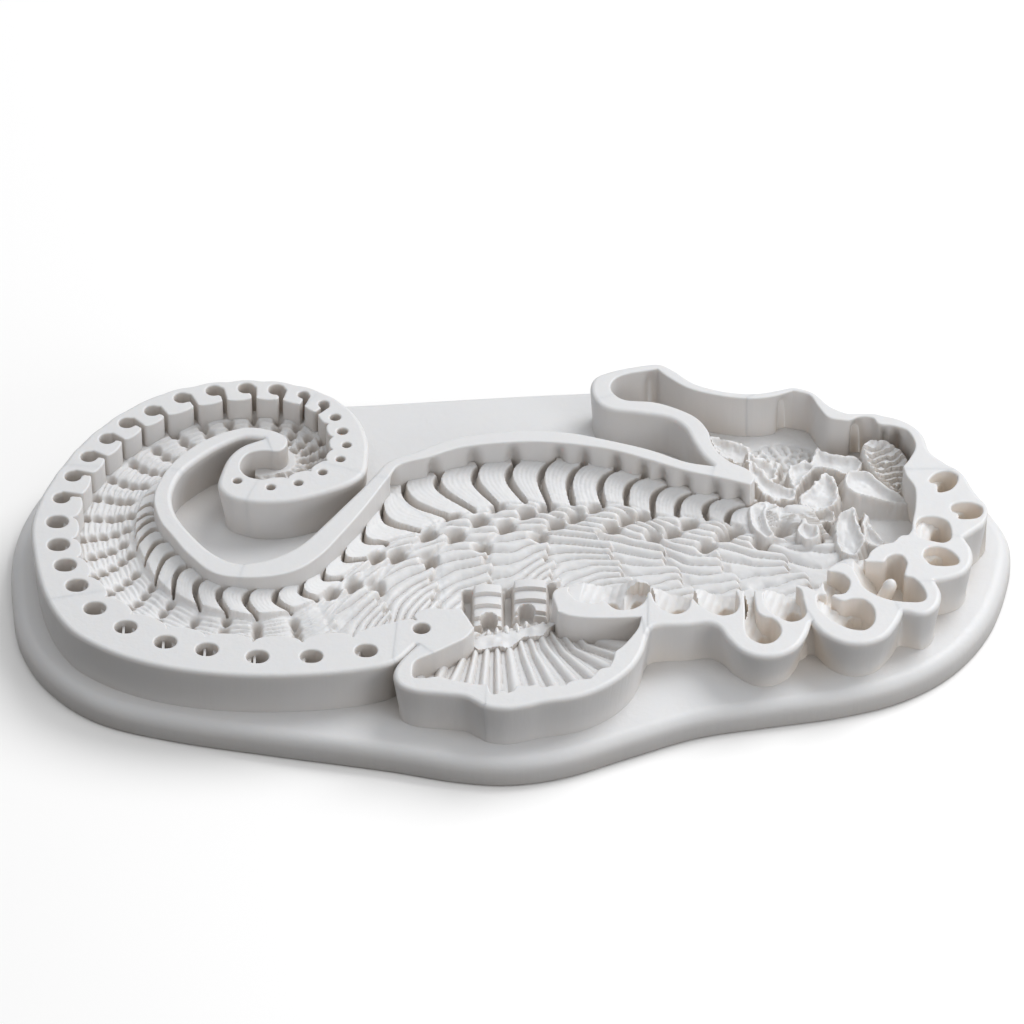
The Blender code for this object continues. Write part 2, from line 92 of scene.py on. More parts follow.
# The main cavity's edge, without the tail's scallops, and then the rest of it as runs that go on
# from the tail's last point
TAIL_EDGE = [(-16.8, -15.2), (-20.6, -17.8), (-27, -19.6), (-35, -21), (-43, -20.9), (-50.4, -19.9),
    (-57.6, -17.6), (-63.4, -14), (-67.8, -9.4), (-71, -4.2), (-73.2, 1.8), (-74.2, 8), (-74.1, 14),
    (-73, 21), (-70.7, 27), (-67, 33.3), (-62, 38.7), (-56, 42.7), (-49.5, 44.9), (-43, 45.4),
    (-37.8, 44.2), (-34.2, 41.4), (-32.2, 37.6), (-31.4, 33.5), (-31.6, 29.8), (-33, 27), (-35.2, 25),
    (-37.8, 23.6), (-40.5, 22.6), (-43, 22.3)]
CAVITY_RUNS = [
    [(-45.4, 23.2), (-46.7, 25.2), (-46.7, 27.6), (-45.4, 29.8), (-43, 30.5), (-40.4, 30.3), (-39, 31.8),
     (-39.1, 34.2), (-41.6, 36.2), (-46.5, 37), (-53, 33.6), (-58.5, 27), (-61.3, 18.5), (-60.3, 11.5),
     (-57.7, 6.4), (-54.8, 1.4), (-50, -3.8), (-43, -4.7), (-37, -3), (-32.6, 1.2), (-28.8, 7.6),
     (-25, 14.8), (-21.2, 23), (-19.3, 26.5), (-14.5, 28.6), (-9, 31.3), (-3, 32.5), (3.5, 33), (10, 32.4),
     (17, 30.8), (23, 28.2), (30, 24.8), (36, 22.8), (41, 20.8)],
    [(41.7, 23), (40.4, 25.4), (37.6, 27.4), (35.4, 30.2), (34.4, 33.4), (33.8, 36.6), (31.3, 40.6),
     (25.5, 44.1), (20, 44.9), (17.9, 46.6), (17.2, 48.8), (18, 51), (20, 52.4), (22.7, 53.2), (25.4, 53.9)],
    [(27.5, 51.3), (31, 48.2), (36, 46.2), (41, 45.3), (45, 45.8), (49, 47.6)],
    [(51.8, 46.4), (53.2, 43.2), (55, 39.9), (58.4, 38.9)],
    [(60.4, 40.1), (62.6, 39.8), (63.6, 38.1), (66, 37.6), (68.6, 36), (69.7, 32), (68.6, 28.4), (67.3, 26)],
    [(67.8, 23.4), (69.1, 20), (69, 15), (68.4, 11), (68.2, 8.6)],
    [(67.4, 7), (66.2, 6.8), (64.8, 4.9)],
    [(62.6, 4.2), (60.9, 2.4), (60.2, 0.6), (58.8, -0.2), (57.4, -1.6), (56.6, -0.8), (55.5, -0.8),
     (54, -1.8), (52.8, -4), (52, -7), (51.2, -8.2)],
    [(49.6, -7.2), (47.4, -6.6), (45.2, -7.6), (43.6, -8.8), (41.4, -8.2), (39, -8.4), (37, -7.4),
     (34.6, -7.2), (32.4, -8.6), (30.2, -9.2), (28.4, -7.8), (25.6, -7.2), (23.4, -6.6), (21.2, -5.2)],
    [(19.2, -5.6), (17, -5.6), (14.6, -5.8), (12.4, -6.6), (10.6, -7.4), (9, -7.2), (7.4, -7.9),
     (6.8, -9.4), (7.2, -11.6), (7.7, -13.9)],
    [(6, -13.4), (4, -14.2), (1.6, -14.3), (0.2, -16), (-1, -17.4), (-2.6, -17), (-4.6, -17.6),
     (-6.3, -18.3)],
    [(-7.4, -15.6), (-8.6, -12.9)],
    [(-11, -13.2), (-13.6, -12.9), (-15.4, -13.6), (-16.8, -15.2)],
]

# Fin pocket's edge as runs; its lower side is ragged where the fin's rays end
FIN_START = (7.7, -13.9)
FIN_RUNS = [
    [(9.6, -15), (13, -15.6), (17.5, -15.6), (21.7, -15.3)],
    [(21.2, -18), (20, -20.6), (18.4, -23.2), (17.2, -24.6), (16.9, -26.4), (16.2, -28.6)],
    [(14.6, -29.2), (13.6, -30.8), (13.1, -31.6)],
    [(11, -32), (9.4, -32.6), (8.8, -33.5)],
    [(7, -33.4), (5.2, -33.9), (4, -33.3), (2.4, -33.6), (0.9, -33.4), (0.2, -34.9)],
    [(-0.9, -35.4), (-1.4, -34.2), (-2.2, -35.4), (-3.4, -35.6), (-4.1, -33)],
    [(-5.6, -33.2), (-8, -32.6), (-10.4, -31.9)],
    [(-12.2, -31.1), (-14.4, -31.5), (-16.3, -31.3), (-16.6, -29.4), (-16, -26.9), (-13, -24.9),
     (-9.6, -22.4), (-8, -21.2), (-6.9, -19.6), (-6.3, -18.3)],
]
OVER_SILL = [(-4, -15), (4, -12)]       # the pocket is open to the trunk here

# Spine sockets along the tail band: plan centre of each hole, from the trunk to the curl's end
TAIL_HOLES = [(-15.2, -18.4), (-24.4, -24.3), (-33.5, -25.8), (-42.5, -25.9), (-51, -24), (-58, -22),
    (-64.8, -18), (-70.2, -13), (-73.5, -6.8), (-75.7, -1.3), (-77.1, 4.3), (-77.6, 10.6), (-77.2, 17.2),
    (-75.5, 23.3), (-73, 28.8), (-70, 33.9), (-66.8, 38.4), (-62.5, 41.9), (-57.5, 45.6), (-52, 47.7),
    (-46.4, 48.4), (-41.1, 48), (-36.4, 46.5), (-32.8, 43.8), (-30.7, 40), (-29.4, 36), (-28.6, 32.1),
    (-29.6, 28.1), (-32.6, 24.4), (-36.7, 21.4), (-41.4, 20.2), (-47.2, 22)]
HOLE_RADII = [(0, 1.45), (1, 1.7), (12, 1.45), (22, 0.95), (26, 0.8)]   # from each hole number on
LOWER_HOLES = range(1, 12)  # the wider holes along the lower rim
WIDENING = 0.2              # half the straight stretch of a lower hole
BLADED = range(3, 7)        # holes with a thin upright blade
SLOTTED = range(12, 24)     # holes that a narrow slot joins to the channel
SLOT_HALF = 0.42            # half the slot's width
VALLEY_DRIFT = 1.2          # a valley lies this much further along the tail than its socket
LOBE_HEIGHT = 2.1           # most that a lobe stands over the valleys beside it
LOBE_SHARE = 0.22           # and its share of the lobe's width, on a narrow lobe

# Sockets of the back and crown: outline on the rim, then the deep end's centre and two radii
BACK_SOCKETS = [
    ([(9.7, -8.8), (10.9, -10.7), (12.9, -11.7), (14.6, -11.5), (15.4, -10.6), (16.5, -12.2), (17.6, -13.2),
     (19.1, -13.4), (20.8, -12.8), (22.3, -11.1), (22.9, -8.3), (22.8, -6), (21.4, -4.6), (18, -4.4),
     (14, -4.9), (11, -6.2), (9.7, -7.4)], (16.8, -9.2), (1.3, 2.4)),
    ([(19.6, -8), (20.4, -6.4), (22, -6.4), (22.7, -8.2), (22.2, -10.8), (21, -12.2), (20, -10.8)],
     (21.4, -9.2), (1.3, 2.9)),
    ([(23.8, -7), (23.7, -9.8), (24.7, -12.4), (26.4, -14.1), (28, -14.4), (29.5, -13.2), (30, -11),
     (29.8, -8.8), (29, -7), (26, -6.6)], (28.3, -11.4), (1.6, 2.8)),
    ([(31, -7.6), (30.8, -10.8), (32.5, -13), (34.5, -14.6), (36, -14.8), (37.5, -14), (38.2, -12),
     (38, -9.6), (37, -7), (34, -6.8)], (36.3, -11.4), (1.7, 3)),
    ([(39.3, -8), (39.2, -13), (39.2, -19), (40.2, -21.3), (42, -22.4), (43.8, -21.8), (45, -19.7),
     (44.8, -17.4), (43.7, -15.7), (42.3, -15.2), (41.2, -13.8), (40.8, -10), (40.8, -7.6)], (43, -18.8),
     (1.8, 3.2)),
    ([(42.7, -8), (42.7, -12.2), (44, -14.4), (46, -16.2), (47.2, -16.5), (48.5, -15.9), (49.4, -14.2),
     (49.1, -11), (48.4, -7.6), (45.6, -6.8)], (47.6, -12.6), (1.5, 3.3)),
    ([(51.6, -9.5), (53.6, -9.7), (55.6, -11), (57.2, -10.4), (59.3, -10.7), (60.8, -13), (60.8, -16.4),
     (59.4, -18.6), (57.2, -18.6), (54.6, -17), (52.6, -14.6), (51.6, -12.6)], (58.3, -14.6), (2.5, 4)),
    ([(52.8, -4.2), (53.8, -3.1), (55.7, -3.6), (57, -5.4), (56.8, -7.6), (55.8, -9), (53.4, -9),
     (52.7, -7.4)], (55.8, -6.4), (1.2, 2.5)),
    ([(69.8, 1.4), (70.5, 3.2), (72.4, 3.7), (74.4, 2.6), (75.7, 0.4), (75.4, -1), (73.5, -1.5),
     (71.2, -1.2), (70.3, 0)], (73, 0.9), (2.6, 2.4)),
    ([(69, 7), (69, 10.2), (70.2, 11.8), (72.4, 11.9), (74.3, 10.6), (74.8, 8), (74.6, 5.9), (73.4, 4.9),
     (71.7, 5.3), (70.2, 5.9)], (73.1, 8.2), (1.7, 3.3)),
    ([(75.2, 15), (76.3, 15.8), (78.5, 15.9), (80.2, 14.8), (80.4, 13.2), (79.5, 11.8), (77.8, 11.4),
     (76.3, 11.6), (76.3, 12.8), (75.3, 13.6)], (78.2, 13.7), (2.1, 2.2)),
    ([(71.8, 22.5), (73, 24.1), (75, 24.7), (76.5, 23.6), (76.4, 21.6), (75.3, 19.7), (73.8, 18.9),
     (73, 19.1), (73, 21), (71.9, 21.6)], (75, 21.9), (1.8, 2.8)),
]
PIN_POCKET = [(57.6, -1.4), (58.6, -0.6), (60.6, -0.4), (63, -0.4), (63.7, 0.8), (64.9, 1.6), (66.2, 1.2),
    (66.9, -0.6), (66.6, -2.4), (66.4, -4.2), (67.8, -4.8), (69.2, -7), (69.8, -9.6), (69.2, -11),
    (67.4, -11.3), (63.8, -10.7), (61, -9), (59.3, -7), (58.4, -4)]
PIN = ((63.8, -5), 1.25)    # the core pin's plan centre and radius


def length(v):
    return np.linalg.norm(v, axis=-1)


def spline(points, steps, closed=False):
    """A smooth curve through given points, as an array."""
    pts = np.array(points, float)
    if closed:
        pts = np.vstack([pts[-1:], pts, pts[:2]])
    else:
        pts = np.vstack([2 * pts[0] - pts[1], pts, 2 * pts[-1] - pts[-2]])
    t = np.arange(steps)[:, None] / steps
    out = []
    for a, b, c, d in zip(pts, pts[1:], pts[2:], pts[3:]):
        out.append(0.5 * (2 * b + (c - a) * t + (2 * a - 5 * b + 4 * c - d) * t ** 2
                          + (3 * b - a - 3 * c + d) * t ** 3))
    curve = np.vstack(out)
    return curve if closed else np.vstack([curve, points[-1]])


def run_of(curve):
    """How far along a curve each of its points lies."""
    return np.concatenate([[0], np.cumsum(length(np.diff(curve, axis=0)))])


def places(curve, run, at):
    """The points that lie some way along a curve."""
    return np.stack([np.interp(at, run, curve[:, k]) for k in (0, 1)], -1)


def joined(runs, corner=None):
    """One outline from smooth runs, each of which starts at the last one's end."""
    corner = corner or runs[-1][-1]
    curves = []
    for run in runs:
        curves.append(spline([corner] + run, 8)[:-1])
        corner = run[-1]
    return np.vstack(curves)


def scalloped(edge, holes):
    """The tail channel's outer edge as a row of lobes, and the valley beside each socket."""
    curve = spline(edge, 16)
    tangent = np.gradient(curve, axis=0)
    tangent /= length(tangent)[:, None]
    inward = np.stack([tangent[:, 1], -tangent[:, 0]], 1)      # the edge runs clockwise round the curl
    run = run_of(curve)
    valleys = [0.0]
    for hole in holes:
        nearest = np.argmin(length(curve - hole))
        valleys.append(run[nearest] + VALLEY_DRIFT)
    out = []
    stops = [v for v in valleys if v < run[-1] - 1] + [run[-1]]
    for low, high in zip(stops, stops[1:]):
        count = max(int((high - low) / 0.35), 4)
        height = min(LOBE_HEIGHT, LOBE_SHARE * (high - low))
        for u in np.arange(count) / count:
            at = low + (high - low) * u
            rise = height * math.sin(math.pi * u) ** 0.45 - 0.6 * height
            out.append(places(curve, run, at) + places(inward, run, at) * rise)
    return np.array(out), places(curve, run, valleys[1:])


# ---------------------------------------------------------------- fields on one grid

CELL = 0.2
XS = np.arange(-87, 87, CELL)
YS = np.arange(-43, 61.5, CELL)
GX, GY = np.meshgrid(XS, YS)
REACH = 5.0                 # distances are true up to here


def window(points, margin=REACH):
    """The part of the grid within a margin of some points."""
    low, high = np.min(points, 0) - margin, np.max(points, 0) + margin
    i0, i1 = np.searchsorted(XS, (low[0], high[0]))
    j0, j1 = np.searchsorted(YS, (low[1], high[1]))
    return np.s_[j0:j1, i0:i1]


def offsets(a, b):
    """The window round the run from a to b, and how far its points lie from the run in x and y."""
    box = window([a, b])
    px, py = GX[box] - a[0], GY[box] - a[1]
    dx, dy = b[0] - a[0], b[1] - a[1]
    t = np.clip((px * dx + py * dy) / max(dx * dx + dy * dy, 1e-9), 0, 1)
    return box, px - t * dx, py - t * dy


def capsule_field(a, b, radius):
    """Signed distance to a stadium round the run from a to b, positive inside."""
    out = np.full(GX.shape, -REACH)
    box, x, y = offsets(a, b)
    out[box] = radius - np.hypot(x, y)
    return out


def outline_field(loop):
    """Signed distance to a closed outline, positive inside, true within REACH of the line."""
    near = np.full(GX.shape, REACH ** 2)
    inside = np.zeros(GX.shape, bool)
    for (ax, ay), (bx, by) in zip(loop, np.roll(loop, -1, 0)):
        box, x, y = offsets((ax, ay), (bx, by))
        near[box] = np.minimum(near[box], x ** 2 + y ** 2)
        j0, j1 = np.searchsorted(YS, (min(ay, by), max(ay, by)))
        if j1 > j0:
            cross = ax + (YS[j0:j1] - ay) * (bx - ax) / (by - ay)
            inside[j0:j1] ^= XS[None, :] < cross[:, None]
    far = np.sqrt(near)
    return np.where(inside, far, -far)


def smooth_field(outline, steps=5):
    """Signed distance to the smooth closed curve through some points."""
    return outline_field(spline(outline, steps, closed=True))


def sample(field, points):
    """Field values at plan points."""
    u = np.clip((points[:, 0] - XS[0]) / CELL, 0, len(XS) - 1.001)
    v = np.clip((points[:, 1] - YS[0]) / CELL, 0, len(YS) - 1.001)
    i, j = u.astype(int), v.astype(int)
    fu, fv = u - i, v - j
    return ((field[j, i] * (1 - fu) + field[j, i + 1] * fu) * (1 - fv)
            + (field[j + 1, i] * (1 - fu) + field[j + 1, i + 1] * fu) * fv)


def contours(field, pitch=0.3):
    """Closed loops along a field's zero line, with the positive side on the left."""
    solid = field > 0
    corners = np.stack([solid[:-1, :-1], solid[:-1, 1:], solid[1:, 1:], solid[1:, :-1]])
    count = corners.sum(0)
    link = {}
    for j, i in np.argwhere((count > 0) & (count < 4)):
        sides = ((0, j, i), (1, j, i + 1), (0, j + 1, i), (1, j, i))
        c = corners[:, j, i]
        leave = [k for k in range(4) if c[k] and not c[(k + 1) % 4]]
        enter = [k for k in range(4) if not c[k] and c[(k + 1) % 4]]
        for k in leave:
            link[sides[k]] = sides[enter[0] if len(enter) == 1 else (k - 1) % 4]
    loops = []
    while link:
        at = next(iter(link))
        keys = []
        while at in link:
            keys.append(at)
            at = link.pop(at)
        points = []
        for up, j, i in keys:
            a, b = field[j, i], field[j + 1, i] if up else field[j, i + 1]
            t = a / (a - b)
            points.append((XS[i] + (0 if up else t * CELL), YS[j] + (t * CELL if up else 0)))
        loop = np.array(points + points[:1])
        run = run_of(loop)
        if run[-1] < 2:         # a speck
            continue
        total = max(int(run[-1] / pitch), 8)
        at = np.arange(total) * run[-1] / total
        loops.append(places(loop, run, at))
    return loops


def hole_radius(number):
    return [radius for first, radius in HOLE_RADII if number >= first][-1]


def tail_socket(number):
    """Signed distance to one of the tail's sockets, wider along the lower rim, smaller in the curl."""
    hole = np.array(TAIL_HOLES[number])
    wide = np.array([WIDENING if number in LOWER_HOLES else 0, 0])
    return capsule_field(hole - wide, hole + wide, hole_radius(number))


def wall_fields():
    """The casting seen from above: signed distance into the solid and edge radius, by kind of wall."""
    edge, valleys = scalloped(TAIL_EDGE, TAIL_HOLES[1:])
    cavity = outline_field(np.vstack([edge, joined(CAVITY_RUNS, TAIL_EDGE[-1])]))
    fin = outline_field(np.vstack([joined(FIN_RUNS, FIN_START), OVER_SILL]))
    sockets = np.full(GX.shape, -REACH)
    for number, hole in enumerate(TAIL_HOLES):
        sockets = np.maximum(sockets, tail_socket(number))
        if number in SLOTTED:
            valley = valleys[number - 1]
            along = np.array(TAIL_HOLES[number + 1]) - TAIL_HOLES[number - 1]
            along = along / length(along)
            start = np.array(hole) + along * (hole_radius(number) - 0.1)
            slot = capsule_field(start, valley + (valley - start) * 0.3, SLOT_HALF)
            sockets = np.maximum(sockets, slot)
    deep = smooth_field(PIN_POCKET)
    for outline, _, _ in BACK_SOCKETS:
        deep = np.maximum(deep, smooth_field(outline))
    return {"outer": (outline_field(joined(RIM_RUNS)), 0.8), "cavity": (-cavity, 0.3),
            "fin": (-fin, 0.3), "sockets": (-sockets, 0.3), "deep": (-deep, 0.35)}


OUTER, CAVITY = 0, 1        # places of the first two kinds of wall


def top_field(walls):
    """Positive on the rim's flat top. A thin wall gets smaller edge radii."""
    stack = np.array([field for field, _ in walls.values()])
    top = np.full(GX.shape, REACH)
    for k, (field, radius) in enumerate(walls.values()):
        across = field + np.delete(stack, k, 0).min(0)
        top = np.minimum(top, field - np.clip(0.35 * across, 0.05, radius))
    return top


# ---------------------------------------------------------------- the rim as named pieces

# Each cut runs across the rim between two loops, and parts one region from the next
CUTS = [((-19.5, -27.2), (-19.3, -17)), ((-78.3, -10.8), (-69.2, -8.3)), ((-77.1, 26.7), (-70.9, 26)),
    ((-33.2, 47.9), (-36, 43)), ((-25.4, 24), (-32.8, 27.3)), ((-45.5, 16.3), (-43.5, 22.3)),
    ((-43, 34.1), (-41.5, 30.5)), ((-56.6, 24.6), (-59.2, 25.4)), ((-45.5, -0.8), (-46, -4.6)),
    ((-24.2, 23.4), (-21.3, 22.8)), ((34.6, 26.5), (34.4, 23.3)), ((14.4, 45), (17.9, 46.6)),
    ((42, 46.9), (41, 45.3)), ((76.6, 25.3), (67.5, 25.2)), ((77, 6.4), (74.7, 7)), ((68.6, 8.2), (69, 8)),
    ((71.6, -5.5), (68.6, -5.8)), ((65, 1.6), (64.6, 4.8)), ((65.7, -13.8), (64.4, -10.9)),
    ((58.4, -0.6), (58.2, -0.4)), ((50.3, -16.8), (49.6, -13.6)), ((38.9, -17.4), (38.2, -12.4)),
    ((23.1, -18.5), (23.1, -10)), ((21.6, -15.7), (22.6, -20)), ((-4.1, -33), (-4.6, -38.9)),
    ((-16.1, -22.8), (-13, -24.9))]

# A plan point in the middle of each region's top; the nodes that the region stands for
REGIONS = [("tail_wall_root", (-12, -19)), ("tail_wall_lower", (-45, -28.5)), ("tail_wall_left", (-79, 8)),
    ("tail_wall_top", (-46, 49.9)), ("tail_wall_curl", (-26.3, 33)), ("tail_wall_tip", (-36, 19)),
    ("curl_tongue", (-48.6, 24)), ("inner_wall_top", (-47, 35.7)), ("inner_wall_left", (-58, 9.6)),
    ("inner_wall_right", (-31, 7)), ("belly_wall", (3, 34.6)), ("jaw_wall", (33, 35)),
    ("snout_wall", (15.6, 50)), ("head_wall", (70.4, 34)), ("crown_lobe_upper", (75, 17)),
    ("crown_lobe_lower", (76.6, 1.5)), ("back_lobe_pin", (70.8, -9)), ("back_lobe_large", (62.3, -17)),
    ("back_lobe_middle", (46, -22)), ("back_wall", (30.5, -15.8)), ("fin_crescent", (15, -13.5)),
    ("fin_wall_right", (19.3, -25)), ("fin_wall_left", (-18, -30.5))]
ROUNDING = [math.radians(a) for a in (0, 20, 40, 60, 78, 90)]
DOWN = (0.12, 0.3, 0.5, 0.75, 1.0)      # levels of a wall below its rounded edge
INNER_LEAN = -0.15                      # an inner face leans into its hollow

# How far the outer face leans in at its foot, at plan points round the mould
LEAN = [((-60, -27), 0.6), ((-30, -30), 0.7), ((-81, 0), 0.5), ((-50, 50), 0.4), ((-26, 36), 0.5),
    ((-40, 16), 0.4), ((-50, 20), 1.1), ((0, 36), 0.5), ((15, 50), 0.4), ((60, 42), 0.4), ((78, 15), 0.8),
    ((77, 0), 0.9), ((71, -12), 0.9), ((58, -22), 1.6), ((43, -26), 2.3), ((28, -17.6), 0.6),
    ((20, -30), 0.8), ((0, -39), 0.9), ((-18, -33), 0.9)]

# Where an upright flute is cut into the wall of the cavity
FLUTES = [(-19, 24.6), (-12.7, 27.9), (-6.3, 30.6), (0.3, 31.8), (7.7, 31.8), (12, 31), (17.5, 29.6),
    (22, 27.8), (25.3, 26.2), (29.5, 24.3), (34.7, 22.5), (38.5, 21.2), (24.6, 53.5), (47.4, 47),
    (59.8, 40), (64, 38), (66.4, 37.2)]
FLUTE_DEPTH = 1.5


def lean_at(points):
    """The lean of the outer face, weighed from the nearest of the places in LEAN."""
    total, weight = np.zeros(len(points)), np.zeros(len(points))
    for place, amount in LEAN:
        w = 1 / (length(points - place) ** 3 + 20)
        total += w * amount
        weight += w
    return total / weight


def metres(plan, z):
    """Plan millimetres and heights as points in the part's own metres."""
    plan = np.asarray(plan, float)
    z = np.broadcast_to(z, plan.shape[:1])
    return np.column_stack([plan[:, 0] - PLAN_MID[0], plan[:, 1] - PLAN_MID[1], z]) * MM


def placed(name, data):
    """A new object in the scene."""
    obj = bpy.data.objects.new(name, data)
    bpy.context.scene.collection.objects.link(obj)
    return obj


def add_piece(name, points, faces, nodes, material, crease=None):
    """A mesh piece that rides on the casting and stands for the given CAD nodes."""
    mesh = bpy.data.meshes.new(name)
    mesh.from_pydata(points.tolist(), [], faces)
    mesh.validate()
    mesh.shade_smooth()
    mesh.set_sharp_from_angle(angle=math.radians(50))
    if crease is not None:              # edges between two points of the crease are sharp as well
        ends = np.zeros(len(mesh.edges) * 2, int)
        mesh.edges.foreach_get("vertices", ends)
        sharp = np.zeros(len(mesh.edges), bool)
        mesh.attributes["sharp_edge"].data.foreach_get("value", sharp)
        sharp |= crease[ends.reshape(-1, 2)].all(1)
        mesh.attributes["sharp_edge"].data.foreach_set("value", sharp)
    mesh.materials.append(material)
    obj = placed(name, mesh)
    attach(obj, "root")
    if nodes:
        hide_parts(*nodes)


def loft(rings):
    """Points and faces of a closed skin over rings of as many points each, from the bottom up."""
    count = len(rings[0][0])
    last = (len(rings) - 1) * count
    faces = [tuple(range(count))[::-1]]
    for low in range(0, last, count):
        for i in range(count):
            j = (i + 1) % count
            faces.append((low + i, low + j, low + count + j, low + count + i))
    faces.append(tuple(range(last, last + count)))
    return np.vstack([metres(plan, z) for plan, z in rings]), faces


def inside_loops(points, loops):
    """Which points lie within an odd number of loops."""
    hit = np.zeros(len(points), bool)
    for loop in loops:
        for (ax, ay), (bx, by) in zip(loop, np.roll(loop, -1, 0)):
            if ay != by:
                rows = (ay > points[:, 1]) != (by > points[:, 1])
                hit ^= rows & (points[:, 0] < ax + (points[:, 1] - ay) * (bx - ax) / (by - ay))
    return hit


def side(o, u, v):
    """Positive where v lies to the left of the line from o to u."""
    a, b = u - o, v - o
    return a[..., 0] * b[..., 1] - a[..., 1] * b[..., 0]


def clear_cut(plan, edges, loops, a, b, choices=14):
    """The outline points nearest to a and b whose straight run stays within the solid."""
    ends = np.array(edges)
    p, q = plan[ends[:, 0]], plan[ends[:, 1]]
    first = np.argsort(length(plan - a))[:choices]
    second = np.argsort(length(plan - b))[:choices]
    pairs = sorted((length(plan[i] - a) + length(plan[j] - b), int(i), int(j))
                   for i in first for j in second if i != j)
    for _, i, j in pairs:
        u, v = plan[i], plan[j]
        crossing = (side(u, v, p) * side(u, v, q) < 0) & (side(p, q, u) * side(p, q, v) < 0)
        crossing &= ~np.isin(ends, (i, j)).any(1)
        if not crossing.any() and inside_loops(np.array([(u + v) / 2, u * 0.9 + v * 0.1]), loops).all():
            return i, j
    return None


def outward(plan, fields, kind):
    """Unit vectors out of the solid at the outline's points."""
    out = np.zeros_like(plan)
    for k, field in enumerate(fields):
        dy, dx = np.gradient(field, CELL)
        slope = np.stack([sample(dx, plan), sample(dy, plan)], 1)
        slope /= length(slope)[:, None] + 1e-9
        out[kind == k] = -slope[kind == k]
    return out


def wall_rows(plan, fields):
    """The walls as rows of points, from the flat top's outline over the rounded edge to the foot."""
    values = np.array([sample(field, plan) for field in fields])
    kind = values.argmin(0)
    gap = np.clip(values.min(0), 0.02, None)        # radius of the rounded edge
    out = outward(plan, fields, kind)
    lean = np.where(kind == OUTER, lean_at(plan), INNER_LEAN)
    wall = plan[kind == CAVITY]
    hollow = np.zeros(len(plan))
    for spot in FLUTES:
        x, y = wall[np.argmin(length(wall - spot))]
        near = np.exp(-((plan[:, 0] - x) ** 2 + (plan[:, 1] - y) ** 2) / 1.1)
        hollow = np.maximum(hollow, np.where(kind == CAVITY, FLUTE_DEPTH * near, 0))
    rows = [metres(plan + out * (gap * math.sin(a))[:, None], RIM_Z - gap * (1 - math.cos(a)))
            for a in ROUNDING]
    foot = SLAB_TOP - EMBED
    for w in DOWN:
        share = lean * min(1.0, 1.3 * w) + hollow * min(1.0, 3.5 * w)
        rows.append(metres(plan + out * (gap - share)[:, None], RIM_Z - gap + (foot - RIM_Z + gap) * w))
    return np.array(rows)


def top_triangles(plan, loops):
    """Triangles of the rim's flat top, and the cuts that part its regions."""
    starts = np.cumsum([0] + [len(loop) for loop in loops])
    edges = [(a + k, a + (k + 1) % (b - a)) for a, b in zip(starts, starts[1:]) for k in range(b - a)]
    cuts = [c for c in (clear_cut(plan, edges, loops, *ends) for ends in CUTS) if c]
    made = delaunay_2d_cdt([Vector(p) for p in plan], edges + cuts, [], 0, 1e-4)
    source = [o[0] if o else -1 for o in made[3]]
    tris = np.array([[source[v] for v in face] for face in made[2]])
    tris = tris[(tris >= 0).all(1)]
    return tris[inside_loops(plan[tris].mean(1), loops)], {frozenset(c) for c in cuts}


def label_regions(tris, centres, cuts):
    """The region of each triangle, flooded from its middle up to the cuts, and each region's nodes."""
    sides = {}
    for t, tri in enumerate(tris):
        for a, b in zip(tri, np.roll(tri, -1)):
            sides.setdefault(frozenset((a, b)), []).append(t)
    label = np.full(len(tris), -1)
    stands_for = {}
    for number, (name, spot) in enumerate(REGIONS):
        start = int(np.argmin(length(centres - spot)))
        if label[start] >= 0:           # a cut that isn't clear leaves two regions in one piece
            stands_for[label[start]].append(name)
            continue
        stands_for[number] = [name]
        stack = [start]
        while stack:
            t = stack.pop()
            if label[t] >= 0:
                continue
            label[t] = number
            for a, b in zip(tris[t], np.roll(tris[t], -1)):
                if frozenset((a, b)) not in cuts:
                    stack += [o for o in sides[frozenset((a, b))] if label[o] < 0]
    found = True
    while found:                        # slivers between two cuts join a neighbour
        found = False
        for pair in sides.values():
            if len(pair) == 2 and (label[pair[0]] < 0) != (label[pair[1]] < 0):
                label[pair] = label[pair].max()
                found = True
    return label, stands_for


def build_rim(walls, body, pocket):
    """The rim's regions: flat top, rounded edge and walls. The lobes get the pockets' copy of the silicone,
    with a painted glow in its hollows.
    """
    loops = contours(top_field(walls))
    plan = np.vstack(loops)
    rows = wall_rows(plan, [field for field, _ in walls.values()])
    tris, cuts = top_triangles(plan, loops)
    label, stands_for = label_regions(tris, plan[tris].mean(1), cuts)
    for number, names in stands_for.items():
        used, local = np.unique(tris[label == number], return_inverse=True)
        local = local.reshape(-1, 3)
        count = len(used)
        last = (len(rows) - 1) * count
        directed = {(a, b) for tri in local for a, b in zip(tri, np.roll(tri, -1))}
        faces = [tuple(tri) for tri in local]
        faces += [tuple(v + last for v in tri[::-1]) for tri in local]
        for a, b in sorted(directed):
            if (b, a) not in directed:
                faces += [(b + k, a + k, a + k + count, b + k + count) for k in range(0, last, count)]
        points = rows[:, used].reshape(-1, 3)
        add_piece("cast_" + names[0], points, faces, names, pocket if "lobe" in names[0] else body,
                  np.arange(len(points)) < count)


# ---------------------------------------------------------------- carved floors

